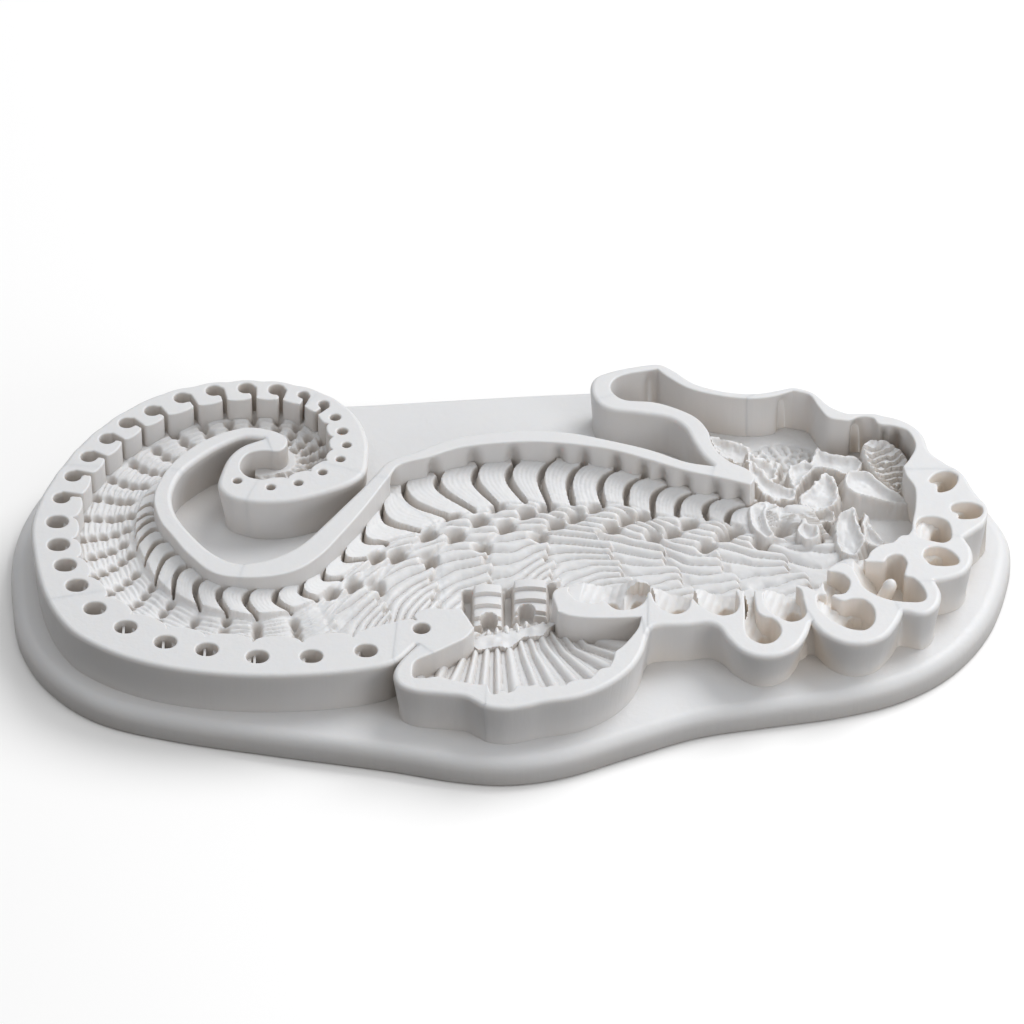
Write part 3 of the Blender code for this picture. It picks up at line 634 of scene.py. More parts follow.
# The casting's body, ring by ring from the neck to the tail's tip: each ring's plan points at the
# inner wall, at the rib's free end and at the outer wall
RINGS = [((52, 19), (54, 15), (63, 4)), ((46, 18), (46, 15.5), (58, 0.5)),
    ((41, 20.8), (37, 17.6), (53, -3)), ((36.2, 22.9), (33.5, 19), (48, -7.5)),
    ((31.6, 24.3), (28.5, 19.5), (43, -9)), ((27.4, 26.3), (24.3, 19.8), (38, -9)),
    ((22.6, 28.3), (19.8, 22.3), (33, -9)), ((18, 30.3), (15.8, 22.8), (28, -8.5)),
    ((12.4, 31.9), (10.6, 22.3), (22.5, -6)), ((6.9, 33), (6.5, 22.3), (15, -4)),
    ((0.8, 32.5), (2.3, 23.3), (8, -8)), ((-5.3, 32.2), (-2.5, 22.3), (3, -14.5)),
    ((-12.3, 29.5), (-6.5, 20.8), (-3, -17.5)), ((-18.6, 26.8), (-11, 19.1), (-8, -15)),
    ((-22.3, 20.5), (-16, 15), (-12.5, -14)), ((-25.3, 14), (-21.5, 11.5), (-16.5, -15.5)),
    ((-28.6, 8), (-25, 7), (-20, -17.5)), ((-31.8, 2.6), (-29, 1.5), (-24, -19)),
    ((-35.2, -1.5), (-33, -4.5), (-28, -20)), ((-39.2, -4), (-37.3, -8), (-35, -21)),
    ((-43.7, -4.7), (-43, -10), (-43, -20.8)), ((-48.2, -4.4), (-48, -9.5), (-50.8, -20)),
    ((-52, -2.2), (-52.7, -8), (-57.5, -17.8)), ((-54.9, 1.2), (-57.3, -4.5), (-63, -14.2)),
    ((-57, 5), (-60.5, -0.5), (-67.4, -9.8)), ((-58.9, 8.6), (-62.5, 4.5), (-70.4, -5)),
    ((-60.3, 11.8), (-64, 9), (-72.4, 0)), ((-61, 15), (-64.4, 12.5), (-73.7, 5.2)),
    ((-61.4, 17), (-64.6, 15.5), (-74.1, 11)), ((-61.4, 19.5), (-64.4, 18.8), (-73.8, 17)),
    ((-60.6, 23.2), (-63.6, 23), (-72.4, 22.7)), ((-59.2, 26.4), (-62, 26.8), (-70.3, 28)),
    ((-57.2, 29.3), (-59.6, 30.2), (-67.2, 33)), ((-54.6, 32.2), (-56.6, 33.4), (-63.4, 37.4)),
    ((-51.7, 34.6), (-53.4, 36.1), (-59, 40.8)), ((-48.9, 36.1), (-50.2, 37.9), (-54.3, 43.4)),
    ((-46.3, 36.9), (-47.1, 38.8), (-49.8, 44.9)), ((-44, 36.9), (-44.3, 39), (-45.2, 45.4)),
    ((-42, 36.2), (-41.7, 38.4), (-40.6, 45.1)), ((-40.6, 35.2), (-39.7, 37.3), (-36.9, 43.9)),
    ((-39.6, 34.1), (-38.3, 35.9), (-34, 41.6)), ((-39.2, 33.1), (-37.6, 34.4), (-32.3, 38.6)),
    ((-39.2, 32.3), (-37.4, 33), (-31.3, 35.4)), ((-39.5, 31.8), (-37.5, 31.8), (-31, 32)),
    ((-40, 31.4), (-38.1, 30.8), (-31.6, 28.8)), ((-40.6, 31.1), (-39, 29.9), (-33.6, 26)),
    ((-41.5, 30.7), (-40.4, 29.2), (-37, 24)), ((-42.8, 30.4), (-42.4, 28.6), (-41, 22.7)),
    ((-44.5, 29.9), (-44.6, 28.5), (-45, 23.8))]
FIRST_RING = -2
RING_STEPS = 4              # steps from one ring to the next
RING_MARGIN = 2.8           # how far a strip reaches past its rings' ends

# Depth under the rim at the rib's root, its free end, the middle and the outer edge of the floor
DEPTHS = [(-1, 5.4, 6.6, 7.2, 6.6), (5, 5.0, 6.2, 7.0, 6.2), (10, 5.0, 6.3, 7.0, 6.4),
    (14, 4.7, 5.9, 6.5, 5.6), (17, 3.6, 5.0, 6.0, 4.8), (19, 2.8, 4.2, 5.4, 4.4), (23, 3.3, 4.5, 5.2, 4.2),
    (27, 4.2, 4.7, 5.0, 4.0), (33, 4.5, 4.7, 4.8, 3.6), (40, 4.2, 4.3, 4.4, 3.8), (46, 4, 4, 4.1, 4)]

# Floor pieces: name, first and last ring, the CAD nodes that it stands for
BODY_FLOORS = [
    ("trunk_floor_head", -3, 6, ["trunk_floor_head", "belly_ribs"]),
    ("trunk_floor_middle", 6, 11.5, ["trunk_floor_middle", "vertebra_block_1", "vertebra_block_2"]),
    ("trunk_floor_tail", 11.5, 16.5, ["trunk_floor_tail"]),
    ("tail_floor_lower", 16.5, 21.5, ["tail_floor_lower", "curl_ribs"]),
    ("tail_floor_left", 21.5, 28.5, ["tail_floor_left"]),
    ("tail_floor_top", 28.5, 37.5, ["tail_floor_top"]),
    ("tail_floor_curl", 37.5, 47, ["tail_floor_curl"]),
]

# How many ridges run side by side over the floor's carved half, at some rings
RIDGES = [(-1, 8), (1, 13), (5, 16.5), (10, 18), (13, 14), (16, 10.5), (19, 5.6), (25, 5.4), (30, 4.2),
    (36, 3.4), (42, 3.2), (47, 2.6)]
RIDGE_RISE = 0.95           # height of a plate's ragged edge over its low end
RIDGE_HEIGHT = 0.85
FAN = 4.5                   # ridges by which a plate's low side fans out


def value_noise(scale, seed):
    """Smooth noise on the grid, from -1 to 1, with features about scale millimetres wide."""
    rng = np.random.default_rng(seed)
    table = rng.uniform(-1, 1, (int(220 / scale) + 3, int(220 / scale) + 3))
    u, v = (GX + 90) / scale, (GY + 46) / scale
    i, j = u.astype(int), v.astype(int)
    fu, fv = u - i, v - j
    fu, fv = fu * fu * (3 - 2 * fu), fv * fv * (3 - 2 * fv)
    return ((table[i, j] * (1 - fu) + table[i + 1, j] * fu) * (1 - fv)
            + (table[i, j + 1] * (1 - fu) + table[i + 1, j + 1] * fu) * fv)


def smoothstep(x, low, high):
    """From 0 at low to 1 at high, with level ends."""
    t = np.clip((x - low) / (high - low), 0, 1)
    return t * t * (3 - 2 * t)


def cell_coordinates(box, a, b, d, e):
    """Where the window's points lie in the four-sided cell a b e d: share from a to b, and from a to d."""
    plane = np.array([1, 1j])           # plan vectors as complex numbers
    along, across, bend = (v @ plane for v in (b - a, d - a, a - b - d + e))
    goal = GX[box] - a[0] + 1j * (GY[box] - a[1])
    u, v = np.full(goal.shape, 0.5), np.full(goal.shape, 0.5)
    for _ in range(6):                  # Newton's method
        rest = u * along + v * across + u * v * bend - goal
        du, dv = along + v * bend, across + u * bend
        det = (du.conj() * dv).imag
        det = np.where(np.abs(det) < 1e-9, 1e-9, det)
        u = np.clip(u - (rest.conj() * dv).imag / det, -2, 3)
        v = np.clip(v - (du.conj() * rest).imag / det, -2, 3)
    return u, v


def strip_coordinates(rings):
    """Ring number, place along the ring (0 inner, 1 middle, 2 outer), and where the strip lies."""
    lines = np.array(rings, float)
    inner, middle, outer = (spline(lines[:, k], RING_STEPS) for k in range(3))
    first, last = inner - middle, outer - middle
    first *= RING_MARGIN / (length(first)[:, None] + 1e-9)
    last *= RING_MARGIN / (length(last)[:, None] + 1e-9)
    columns = [inner + first, inner, middle, outer, outer + last]
    marks = [-0.1, 0, 1, 2, 2.1]
    ring = np.full(GX.shape, np.nan)
    place = np.full(GX.shape, np.nan)
    for k in range(len(middle) - 1):
        for c in range(4):
            corners = [columns[c][k], columns[c][k + 1], columns[c + 1][k], columns[c + 1][k + 1]]
            box = window(corners, 0.1)
            u, v = cell_coordinates(box, *corners)
            ok = (u > -0.01) & (u < 1.01) & (v > -0.01) & (v < 1.01) & np.isnan(ring[box])
            ring[box] = np.where(ok, (k + u) / RING_STEPS, ring[box])
            place[box] = np.where(ok, marks[c] + (marks[c + 1] - marks[c]) * v, place[box])
    valid = ~np.isnan(ring)
    return np.where(valid, ring, 0), np.where(valid, place, 0), valid


def at_ring(table, s, column=1):
    """A table's values at the rings s."""
    return np.interp(s, [row[0] for row in table], [row[column] for row in table])


def spacing(field, low, high):
    """Millimetres from one whole number of a field to the next, kept within two limits."""
    gy, gx = np.gradient(field, CELL)
    return np.clip(1 / np.clip(np.hypot(gx, gy), 0.05, None), low, high)


# Two stepped barrel blocks between trunk and fin: left and right edge, back and front edge, and
# the plan centre of the hollow in the front
BLOCKS = [((-6.7, -1.5), (-0.8, -10.6), (-3.9, -9.4)), ((0.1, 6.1), (0.6, -8), (2.4, -7))]
BLOCK_FOOT = 6.2
BLOCK_TOP = 8.5
BLOCK_STEP = 2.6            # depth of a block's step


def spine_blocks(z):
    """The floor with the blocks, the moat round them and the rough sill in front."""
    rough = value_noise(1.3, 41)
    sill = smoothstep(GY - 0.32 * GX, -12.6, -13.8) * smoothstep(GX, -9, -6.5) * smoothstep(GX, 9.5, 7.6)
    z = np.where(sill > 0, np.maximum(z, 6.4 + 2.9 * sill + 0.3 * rough), z)
    for (left, right), (back, front), hollow in BLOCKS:
        across = np.minimum(GX - left, right - GX)
        along = np.minimum(back - GY, GY - front)
        inside = np.minimum(across, along)
        moat = smoothstep(inside + 0.2 * rough, -1.8, -1.0) * smoothstep(GY, 0.4 + back, back - 0.6)
        z = z * (1 - moat) + np.minimum(z, 4.8) * moat
        body = smoothstep(across, -0.15, 0.35) * smoothstep(along, -0.2, 0.25)
        steps = np.floor((back - GY) / BLOCK_STEP)
        arch = 0.6 * np.sin(np.pi * np.clip((GX - left) / (right - left), 0, 1)) ** 0.6
        top = BLOCK_TOP - 0.5 * steps + arch + 0.1 * (back - GY - BLOCK_STEP * steps)
        z = np.where(body > 0, np.maximum(z, BLOCK_FOOT + (top - BLOCK_FOOT) * body), z)
        pit = smoothstep(np.hypot((GX - hollow[0]) / 1.4, (GY - hollow[1]) / 1.7), 1.1, 0.75)
        z = z * (1 - pit) + 5.2 * pit
    return z


def scale_column(column, q, s, t, rows, pitch, low, trunk):
    """One plate: its height, and each point's place on it. trunk is 1 for a plate, 0 for a tail scale.

    f runs over the plate from its free edge, e across a ridge from its middle, r numbers the ridges.
    """
    f = q - column
    leaning = 0.85 * smoothstep(t, 1.45, 1.1) * np.clip(s + 2 - 2 * column, -3, 2)
    sweep = 1.1 * np.clip(f, 0, 1.2) ** 2 * smoothstep(t, 1.2, 1.4) * np.clip(2 - t, 0.2, 1)
    p = (t - 1) * rows + 0.37 * column + trunk * (leaning + sweep) + 0.15 * value_noise(3.0, 8)
    p -= trunk * FAN * smoothstep(t, 1.3, 2.0) * np.clip(f, -0.2, 1.2)
    r = np.floor(p)
    e = p - r - 0.5
    level = 1 - 0.8 * trunk * smoothstep(t, 1.38, 1.14)     # no cliffs among the pits
    chance = np.mod(r * 73 + column * 37, 11) / 10
    jut = (0.02 + 0.2 * chance) * trunk * level
    over = smoothstep((f + jut) * pitch, -0.1, 0.55)
    nub = smoothstep((1 - f) * pitch, 0.2, 2.2)
    back = np.clip((f + jut) / (1 + jut), 0, 1)
    saw = RIDGE_RISE * level * (1 - back) ** 1.2 + 0.1 * (chance - 0.5)
    dome = 0.5 * np.sin(np.pi * np.clip(f, 0, 1)) ** 0.75
    fine = 0.13 * np.cos(6 * np.pi * e * (1 - 0.5 * np.clip(f, 0, 1)))
    fine *= np.clip(np.sin(np.pi * f), 0, 1)
    ridges = RIDGE_HEIGHT * (np.cos(np.pi * e) ** 0.6) * (0.2 + 0.8 * nub)
    lift = 1.1 * trunk * smoothstep(t, 1.5, 1.2)
    top = low + lift + (trunk * (saw + ridges) + (1 - trunk) * (dome + fine)) * over
    return np.where(f + jut * 1.2 > -0.02, top, low - 2), f, e, r


def scale_cells(q, s, t, rows, low, trunk):
    """The upper one of the two plates that meet at each point, and the first one's (f, e, ridge)."""
    pitch = spacing(q, 1.5, 12)
    first, second = (scale_column(np.floor(q) + k, q, s, t, rows, pitch, low, trunk) for k in (0, 1))
    return np.maximum(first[0], second[0]), first[1:]


def dent(z, x, y, radius, depth):
    """Round, soft-edged pit in a heightfield."""
    box = window([(x, y)])
    away = np.hypot(GX[box] - x, GY[box] - y) / radius
    z[box] -= depth * np.exp(-away ** 3)


def pit_spots(q, cells, zone, place):
    """The grid point of each ridge of each plate, within a zone, that lies nearest to its pit."""
    f, e, r = cells
    cost = np.abs(f - place) + np.abs(e)
    spots = {}
    for j, i in zip(*np.nonzero(zone & (np.abs(e) < 0.12))):
        key = (int(np.floor(q[j, i])), int(r[j, i]))
        if key not in spots or cost[j, i] < cost[spots[key]]:
            spots[key] = (j, i)
    return spots


def plate_heights(s, t, valid, low):
    """Plates of the trunk, each two ribs wide, that pass into scales of the tail, with their pits."""
    trunk = smoothstep(s, 17.5, 14.5)
    rows = at_ring(RIDGES, s)
    slant = 1.5 * np.clip(1 - (t - 1) / 0.26, 0, 1)
    q = (s + 2) / 2 + slant + 0.03 * value_noise(2.2, 3)
    plates, cells = scale_cells(q, s, t, rows, low, 1)
    zone = valid & (trunk > 0.5) & (t > 1.0) & (t < 1.3) & (np.abs(cells[0] - 0.95) < 0.04)
    for (_, row), spot in pit_spots(q, cells, zone, 0.95).items():
        if row % 2:
            dent(plates, GX[spot], GY[spot], 1.3, 3.4)
    q = s + 1
    scales, cells = scale_cells(q, s, t, rows, low, 0)
    shaped = plates * trunk + scales * (1 - trunk)
    zone = valid & (1 - trunk > 0.5) & (t > 1.06) & (t < 1.97) & (cells[0] > 0.9)
    for spot in pit_spots(q, cells, zone, 1.0).values():
        dent(shaped, GX[spot], GY[spot], 0.72, 1.9)
    return shaped


def rib_heights(s, t):
    """Ribs of the belly side, with narrow curved grooves between them, over the plain floor."""
    inner = np.clip(t, 0, 1)
    bend = s - 0.34 * np.sin(np.pi * inner ** 0.75)
    across = bend - np.floor(bend)
    away = np.abs(bend - np.round(bend)) * spacing(s, 1.5, 9)
    wide = 0.78 - 0.3 * inner ** 2
    groove = smoothstep(away, wide, 0.3 * wide) * (1.9 + 0.5 * inner)
    face = 0.45 * (across - 0.5) - 0.35 * (2 * np.abs(across - 0.5)) ** 4
    face += 0.03 * np.cos(14 * np.pi * across)
    ribs = smoothstep(t, 1.05, 0.95) * smoothstep(s, 30, 25) * smoothstep(s, -0.7, -0.3)
    return ribs * (0.75 + face - groove)


def body_heights():
    """The carved floor of trunk and tail: rings, heights, and where the strip covers the grid."""
    s, t, valid = strip_coordinates(RINGS)
    s = np.where(valid, s + FIRST_RING, 0)
    inner, outer = np.clip(t, 0, 1), np.clip(t - 1, 0, 1)
    root, tip, middle, edge = (at_ring(DEPTHS, s, k) for k in (1, 2, 3, 4))
    depth = np.where(t < 1, root + (tip - root) * inner,
                     np.where(outer < 0.35, tip + (middle - tip) * smoothstep(outer, 0, 0.35),
                              middle + (edge - middle) * smoothstep(outer, 0.35, 1)))
    z = RIM_Z - depth + rib_heights(s, t)
    beyond = np.maximum(smoothstep(t, 0.97, 1.05), smoothstep(s, -0.3, -0.7))
    z = z * (1 - beyond) + plate_heights(s, t, valid, RIM_Z - depth - 0.75) * beyond
    z += 0.04 * value_noise(1.1, 5) + 0.03 * value_noise(0.5, 6)
    return s, np.clip(spine_blocks(z), SLAB_TOP - 0.3, RIM_Z - 0.2), valid


def add_floor(name, z, cells, nodes, material):
    """A closed relief over some cells of the grid: carved top, upright skirt, flat underside."""
    rows, cols = np.nonzero(cells)
    wide = len(XS)
    corner = np.stack([rows * wide + cols, rows * wide + cols + 1, (rows + 1) * wide + cols + 1,
                       (rows + 1) * wide + cols], 1)
    used, local = np.unique(corner, return_inverse=True)
    local = local.reshape(-1, 4)
    count = len(used)
    plan = np.stack([XS[used % wide], YS[used // wide]], 1)
    pairs = np.concatenate([local[:, [0, 1]], local[:, [1, 2]], local[:, [2, 3]], local[:, [3, 0]]])
    keys = pairs[:, 0].astype(np.int64) * count + pairs[:, 1]
    back = pairs[:, 1].astype(np.int64) * count + pairs[:, 0]
    rim = pairs[~np.isin(keys, back)]
    follow = {}
    for a, b in rim:
        follow.setdefault(a, []).append(b)
    border = np.unique(rim)
    below = dict(zip(border.tolist(), range(count, count + len(border))))
    faces = [tuple(f) for f in local.tolist()]
    faces += [(b, a, below[a], below[b]) for a, b in rim.tolist()]
    while follow:
        at = next(iter(follow))
        loop = []
        while at in follow:
            loop.append(below[at])
            onward = follow[at]
            step = onward.pop()
            if not onward:
                del follow[at]
            at = step
        if len(loop) > 2:
            faces.append(tuple(loop[::-1]))
    top = metres(plan, z.ravel()[used])
    under = metres(plan[border], SLAB_TOP - EMBED)
    add_piece(name, np.vstack([top, under]), faces, nodes, material)


def cells_of(nodes_ok):
    """Cells whose four corners all qualify."""
    return nodes_ok[:-1, :-1] & nodes_ok[:-1, 1:] & nodes_ok[1:, 1:] & nodes_ok[1:, :-1]


def build_floors(material, cavity):
    """Trunk, tail and head floors, cut from one heightfield so that they meet."""
    s, z, mapped = body_heights()
    head = head_heights()
    z = np.where(mapped, np.where(GX > 40, np.maximum(z, head), z), head)
    inside = cells_of(cavity > -1.2)
    own, s = mapped[:-1, :-1], s[:-1, :-1]
    for name, low, high, nodes in BODY_FLOORS:
        add_floor("cast_" + name, z, inside & own & (s >= low) & (s < high), nodes, material)
    near_head = (GX > 14) & ((GX > 38) | (GY > 30))
    add_floor("head_floor", z, inside & ~own & near_head[:-1, :-1],
              ["cheek_plate", "crest_block", "gill_plate", "eye_ring"], material)


# ---------------------------------------------------------------- head, fin pocket, back sockets

HEAD_BASE = 5.2             # height of the head's and snout's plain floor

# Broken plates of the head: outline, height at its middle, slope along X and Y, steepness of its
# sides, raggedness of its edge
HEAD_PLATES = [
    ([(34.4, 41.2), (36.6, 41.6), (39.2, 40.6), (41.6, 39), (42.2, 36.4), (40.6, 34.4), (38, 35.4),
     (35.6, 37.6)], 6.9, -0.05, 0.06, 3, 0.8),
    ([(41, 36.6), (42, 34.9), (43.4, 35), (44.6, 34.2), (46, 34.8), (46.3, 33.4), (45.6, 30.2), (43.6, 29),
     (41.6, 31), (40.8, 34)], 7.6, -0.1, 0.12, 4, 0.8),
    ([(41.4, 32.6), (43, 31.2), (44.6, 28.8), (46.6, 27.2), (48.6, 26.8), (48.8, 24.4), (46.4, 23.6),
     (43.8, 24.2), (42, 27), (40.8, 30)], 8.1, -0.12, 0.1, 4, 0.6),
    ([(48, 32.4), (49.6, 33.2), (50.8, 34), (51.6, 33.6), (52.4, 35.6), (52.9, 37.8), (54, 36.2),
     (57, 35.2), (60.2, 34.4), (60.4, 31.8), (58.6, 29.6), (56, 31), (53.6, 32), (51.6, 30.8), (50.2, 28.4),
     (49, 26.2), (47.9, 28.6)], 8.1, 0.02, 0.05, 5, 0.4),
    ([(49.4, 22), (49.8, 24), (51.4, 25.4), (52.2, 26.6), (53, 28), (53.9, 29.6), (54.8, 29), (55.8, 27.6),
     (56.3, 24.6), (55.4, 21.4), (53, 19.8), (50.6, 19.8)], 8.6, 0.04, 0.12, 5, 0.5),
    ([(57.8, 24.8), (57.9, 28.8), (60.2, 29.6), (62, 29.2), (64, 27), (67.6, 24.2), (68.2, 22.4),
     (63, 22.8)], 8.6, -0.14, 0.12, 2.2, 0.15),
    ([(60.6, 34.6), (61.6, 36.6), (64.6, 37), (67.4, 35.4), (69.2, 32), (68.4, 28), (67, 26), (64.8, 27.6),
     (62.6, 30)], 8.4, -0.1, 0.3, 5, 0.2),
    ([(43.9, 20.6), (46, 21.4), (47.2, 20.6), (49, 21.3), (54.9, 20.8), (55.2, 18), (52, 17.4), (48.6, 18),
     (45, 17.2)], 7.4, 0, 0.16, 5, 0.7),
    ([(49, 12.6), (49.1, 14.8), (50.2, 16.2), (51, 15), (52.5, 14.8), (52.6, 12.4), (50.8, 11.4)],
     8.8, 0, 0.2, 5, 0.4),
    ([(55.4, 11.6), (55.7, 16.6), (57, 18), (58.8, 18.2), (59.3, 15.2), (60.4, 11.4), (59, 8.6),
     (56.6, 8.8)], 8.6, 0, 0.26, 3, 0.5),
    ([(60, 14.8), (60.3, 18.6), (61, 18.2), (61.8, 15.6), (63.9, 12.4), (62.6, 11.2), (60.8, 12)],
     7.8, -0.1, 0.2, 3.5, 0.4),
    ([(40.9, 20.4), (42.6, 21.6), (44, 21), (43.6, 18.4), (44.2, 15.4), (45, 13.4), (43.4, 12.6),
     (41.4, 15), (40.7, 17.8)], 8.3, 0.0, 0.1, 5, 0.15),
]
LAYERED = 6                 # the plate with the layered slope
LAYER_PITCH = 1.25
LAYER_RISE = 0.85
EYE = ((47.2, 38.7), 5.3, 3.5)          # plan centre and radii of the eye's pitted disc
EYE_ROWS = ((0.36, 5), (0.68, 9), (1.0, 13))        # each ring of pits: its size and how many
EYE_PIT = 1.2               # depth of a pit

# The fin's rays from the sill to the pocket's far edge: plan points at the root, middle and end
RAYS = [((-12, -17), (-16, -21), (-18, -32)), ((-9.5, -17), (-12.5, -22), (-14, -33.5)),
    ((-8, -16.5), (-9, -21.5), (-12.5, -33)), ((-6.5, -16), (-7, -21.5), (-9, -34)),
    ((-4.5, -14.5), (-5, -21), (-6, -35)), ((-3, -14), (-3, -22), (-3, -37.5)),
    ((-1.5, -14), (-1, -22), (0, -37)), ((0.5, -14), (1.5, -21), (4.5, -35.5)),
    ((2, -12.5), (3.5, -20.5), (8, -35.5)), ((3.4, -10.5), (5, -18), (12.5, -34.5)),
    ((5, -10), (8, -19), (16.5, -33)), ((6.4, -10), (10, -18.5), (20, -29)),
    ((8, -10), (12, -17.5), (23.5, -24.5)), ((10, -10.5), (14, -16), (25, -21.5)),
    ((12, -10), (17, -14), (28.5, -13))]
RAY_SHARE = 0.62            # the ray's share of its pitch; the rest is the flat web beside it
SOCKET_FLOOR = 7.2          # height of a back socket's deep end


def head_heights():
    """Plain low floor with broken plates, the pitted eye and the layered slope behind the crown."""
    z = np.full(GX.shape, HEAD_BASE)
    rough = value_noise(0.9, 11) + 0.6 * value_noise(0.45, 12)
    for number, (outline, height, sx, sy, steep, rag) in enumerate(HEAD_PLATES):
        middle = spline(outline, 4, closed=True).mean(0)
        away = smooth_field(outline, 4)
        field = away + rag * 0.5 * rough
        grain = 0.08 * np.sin(2.2 * (GX * math.cos(number) + GY * math.sin(number)) + rough)
        plane = height + sx * (GX - middle[0]) + sy * (GY - middle[1]) + grain
        lip = 0.6 * np.exp(-((field - 0.3) / 0.4) ** 2) - 0.5 * smoothstep(field, 0.5, 1.7)
        sides = plane + lip - steep * np.clip(-field, 0, None)
        z = np.where(away > 1 - REACH, np.maximum(z, sides), z)
    steps = (GY - 0.35 * GX) / LAYER_PITCH + 0.25 * rough
    layers = smoothstep(smooth_field(HEAD_PLATES[LAYERED][0], 4), 0, 0.6)
    z += layers * LAYER_RISE * (np.ceil(steps) - steps)
    (cx, cy), rx, ry = EYE
    z += 0.5 * smoothstep(np.hypot((GX - cx) / rx, (GY - cy) / ry), 1.1, 0.9)
    for share, count in EYE_ROWS:
        for k in range(count):
            turn = 2 * math.pi * (k + 0.5 * share) / count
            px, py = cx + rx * share * math.cos(turn), cy + ry * share * math.sin(turn)
            z -= EYE_PIT * np.exp(-((GX - px) ** 2 + (GY - py) ** 2) / 0.36)
    return np.clip(z + 0.04 * rough, SLAB_TOP - 0.3, RIM_Z - 1)


def fin_heights():
    """The fin pocket's rays, and where they cover the grid."""
    ray, t, valid = strip_coordinates(RAYS)
    depth = 5.5 - 0.55 * t + 0.12 * np.clip(ray - 7, 0, None)
    frac = ray - np.floor(ray)
    web = 0.14 * np.sin(np.pi * (frac - RAY_SHARE) / (1 - RAY_SHARE))
    crest = np.where(frac < RAY_SHARE, np.sin(np.pi * np.minimum(frac / RAY_SHARE, 1)) ** 0.6, web)
    z = RIM_Z - depth + (0.6 + 0.45 * np.clip(t, 0, 1)) * crest
    z += 0.9 * smoothstep(t, 0.16, 0.02) * (0.6 + 0.4 * crest)
    return z + 0.03 * value_noise(0.8, 21), valid


def socket_heights():
    """The back's sockets: a deep end and a ramp that rises from it; and the pin's pocket."""
    z = np.full(GX.shape, 12.4)
    rough = value_noise(1.0, 31)
    ripple = np.abs(np.sin(np.pi * (GX - 0.3 * GY) / 1.3)) ** 0.8
    for outline, centre, radii in BACK_SOCKETS:
        near = smooth_field(outline) > -1.4
        ring = np.hypot((GX - centre[0]) / radii[0], (GY - centre[1]) / radii[1])
        beyond = (ring - 1) * min(radii)
        crown = 1.7 if centre[0] > 66 else 0
        ramp = 9.2 + crown + 0.8 * np.clip(beyond, 0, 4) + 0.18 * ripple + 0.08 * rough
        deep = np.where(beyond < 0, SOCKET_FLOOR, ramp)
        soft = smoothstep(beyond, -0.5, 0.15)
        z = np.where(near, np.minimum(z, SOCKET_FLOOR * (1 - soft) + deep * soft), z)
    slope = 6 + 1.4 * np.clip(62.4 - GX, 0, 4.5) + 0.3 * np.clip(GY + 4, 0, None) * smoothstep(GX, 63.6, 61)
    rib = 1.6 * np.exp(-((GX - 66.1) / 0.55) ** 2) * smoothstep(GY, -3, -5)
    return np.where(smooth_field(PIN_POCKET) > -1.4, slope + rib + 0.05 * rough, z)


def build_pockets(body, pocket, walls):
    """The floors of the fin pocket and of the back's sockets."""
    z, valid = fin_heights()
    add_floor("fin_pocket_floor", z, cells_of(valid & (walls["fin"][0] < 1.2)), ["fin_floor"], body)
    add_floor("back_socket_floors", socket_heights(), cells_of(walls["deep"][0] < 0.8), [], pocket)


def build_tail_sockets(material):
    """Bowl bottoms of the tail's sockets; the lower ones also hold a thin blade."""
    field = np.full(GX.shape, -REACH)
    z = np.full(GX.shape, 7.2)
    for number, hole in enumerate(TAIL_HOLES):
        here = tail_socket(number)
        field = np.maximum(field, here)
        near = here > -1
        bowl = 7.0 + 0.5 * np.hypot(GX - hole[0], GY - hole[1]) ** 2
        if number in LOWER_HOLES:       # a bowl is raised on one side
            high_side = -1 if number < 4 else 1
            bowl = bowl + 4.6 * smoothstep(high_side * (GX - hole[0]), 0.2, 1.3)
        z = np.where(near, np.minimum(bowl, 12), z)
        if number in BLADED:
            z = np.where(near & (np.abs(GX - hole[0] + 0.45) < 0.3), 12.2, z)
    add_floor("tail_socket_bottoms", z, cells_of(field > -0.45), [], material)


def build_pin(material):
    """The round-topped core pin that leans in its pocket."""
    (cx, cy), radius = PIN
    foot, neck, lean = 5.2, 11.4, 2.2
    rings = [(foot + (neck - foot) * share, radius * (1.3 - 0.3 * share), (share - 1) * lean)
             for share in np.linspace(0, 1, 12)]
    for a in np.radians(range(10, 91, 10)):
        rings.append((neck + radius * 1.35 * math.sin(a), radius * math.cos(a) + 0.01, 0.25 * math.sin(a)))
    turn = np.arange(32) * 2 * math.pi / 32
    points, faces = loft([(np.stack([cx + shift + r * np.cos(turn), cy + r * np.sin(turn)], 1), z)
                          for z, r, shift in rings])
    add_piece("core_pin_shape", points, faces, ["core_pin"], material)


# ---------------------------------------------------------------- slab

SLAB_EDGE = 2.4             # radius of the slab's upper edge
SLAB_FOOT = 0.6             # radius of its lower edge


def inset(loop, depth):
    """A closed anticlockwise outline moved inwards."""
    chord = np.roll(loop, -1, 0) - np.roll(loop, 1, 0)
    chord /= length(chord)[:, None]
    return loop + np.stack([-chord[:, 1], chord[:, 0]], 1) * depth


def build_slab(material):
    """The slab with its rounded edges; rings on the flat top keep its faces short."""
    outline = spline(SLAB, 14, closed=True)
    rings = []
    for a in np.radians([90, 60, 30, 0]):
        rings.append((inset(outline, SLAB_FOOT * (1 - math.cos(a))), SLAB_FOOT * (1 - math.sin(a))))
    for a in np.radians(range(0, 91, 10)):
        rings.append((inset(outline, SLAB_EDGE * (1 - math.cos(a))),
                      SLAB_TOP - SLAB_EDGE * (1 - math.sin(a))))
    centre, edge = np.array([PLAN_MID]), rings[-1][0]
    rings += [(centre + (edge - centre) * share, SLAB_TOP) for share in (0.9, 0.6, 0.3)]
    points, faces = loft(rings)
    add_piece("slab", points, faces, ["base_slab"], material)


# ---------------------------------------------------------------- silicone

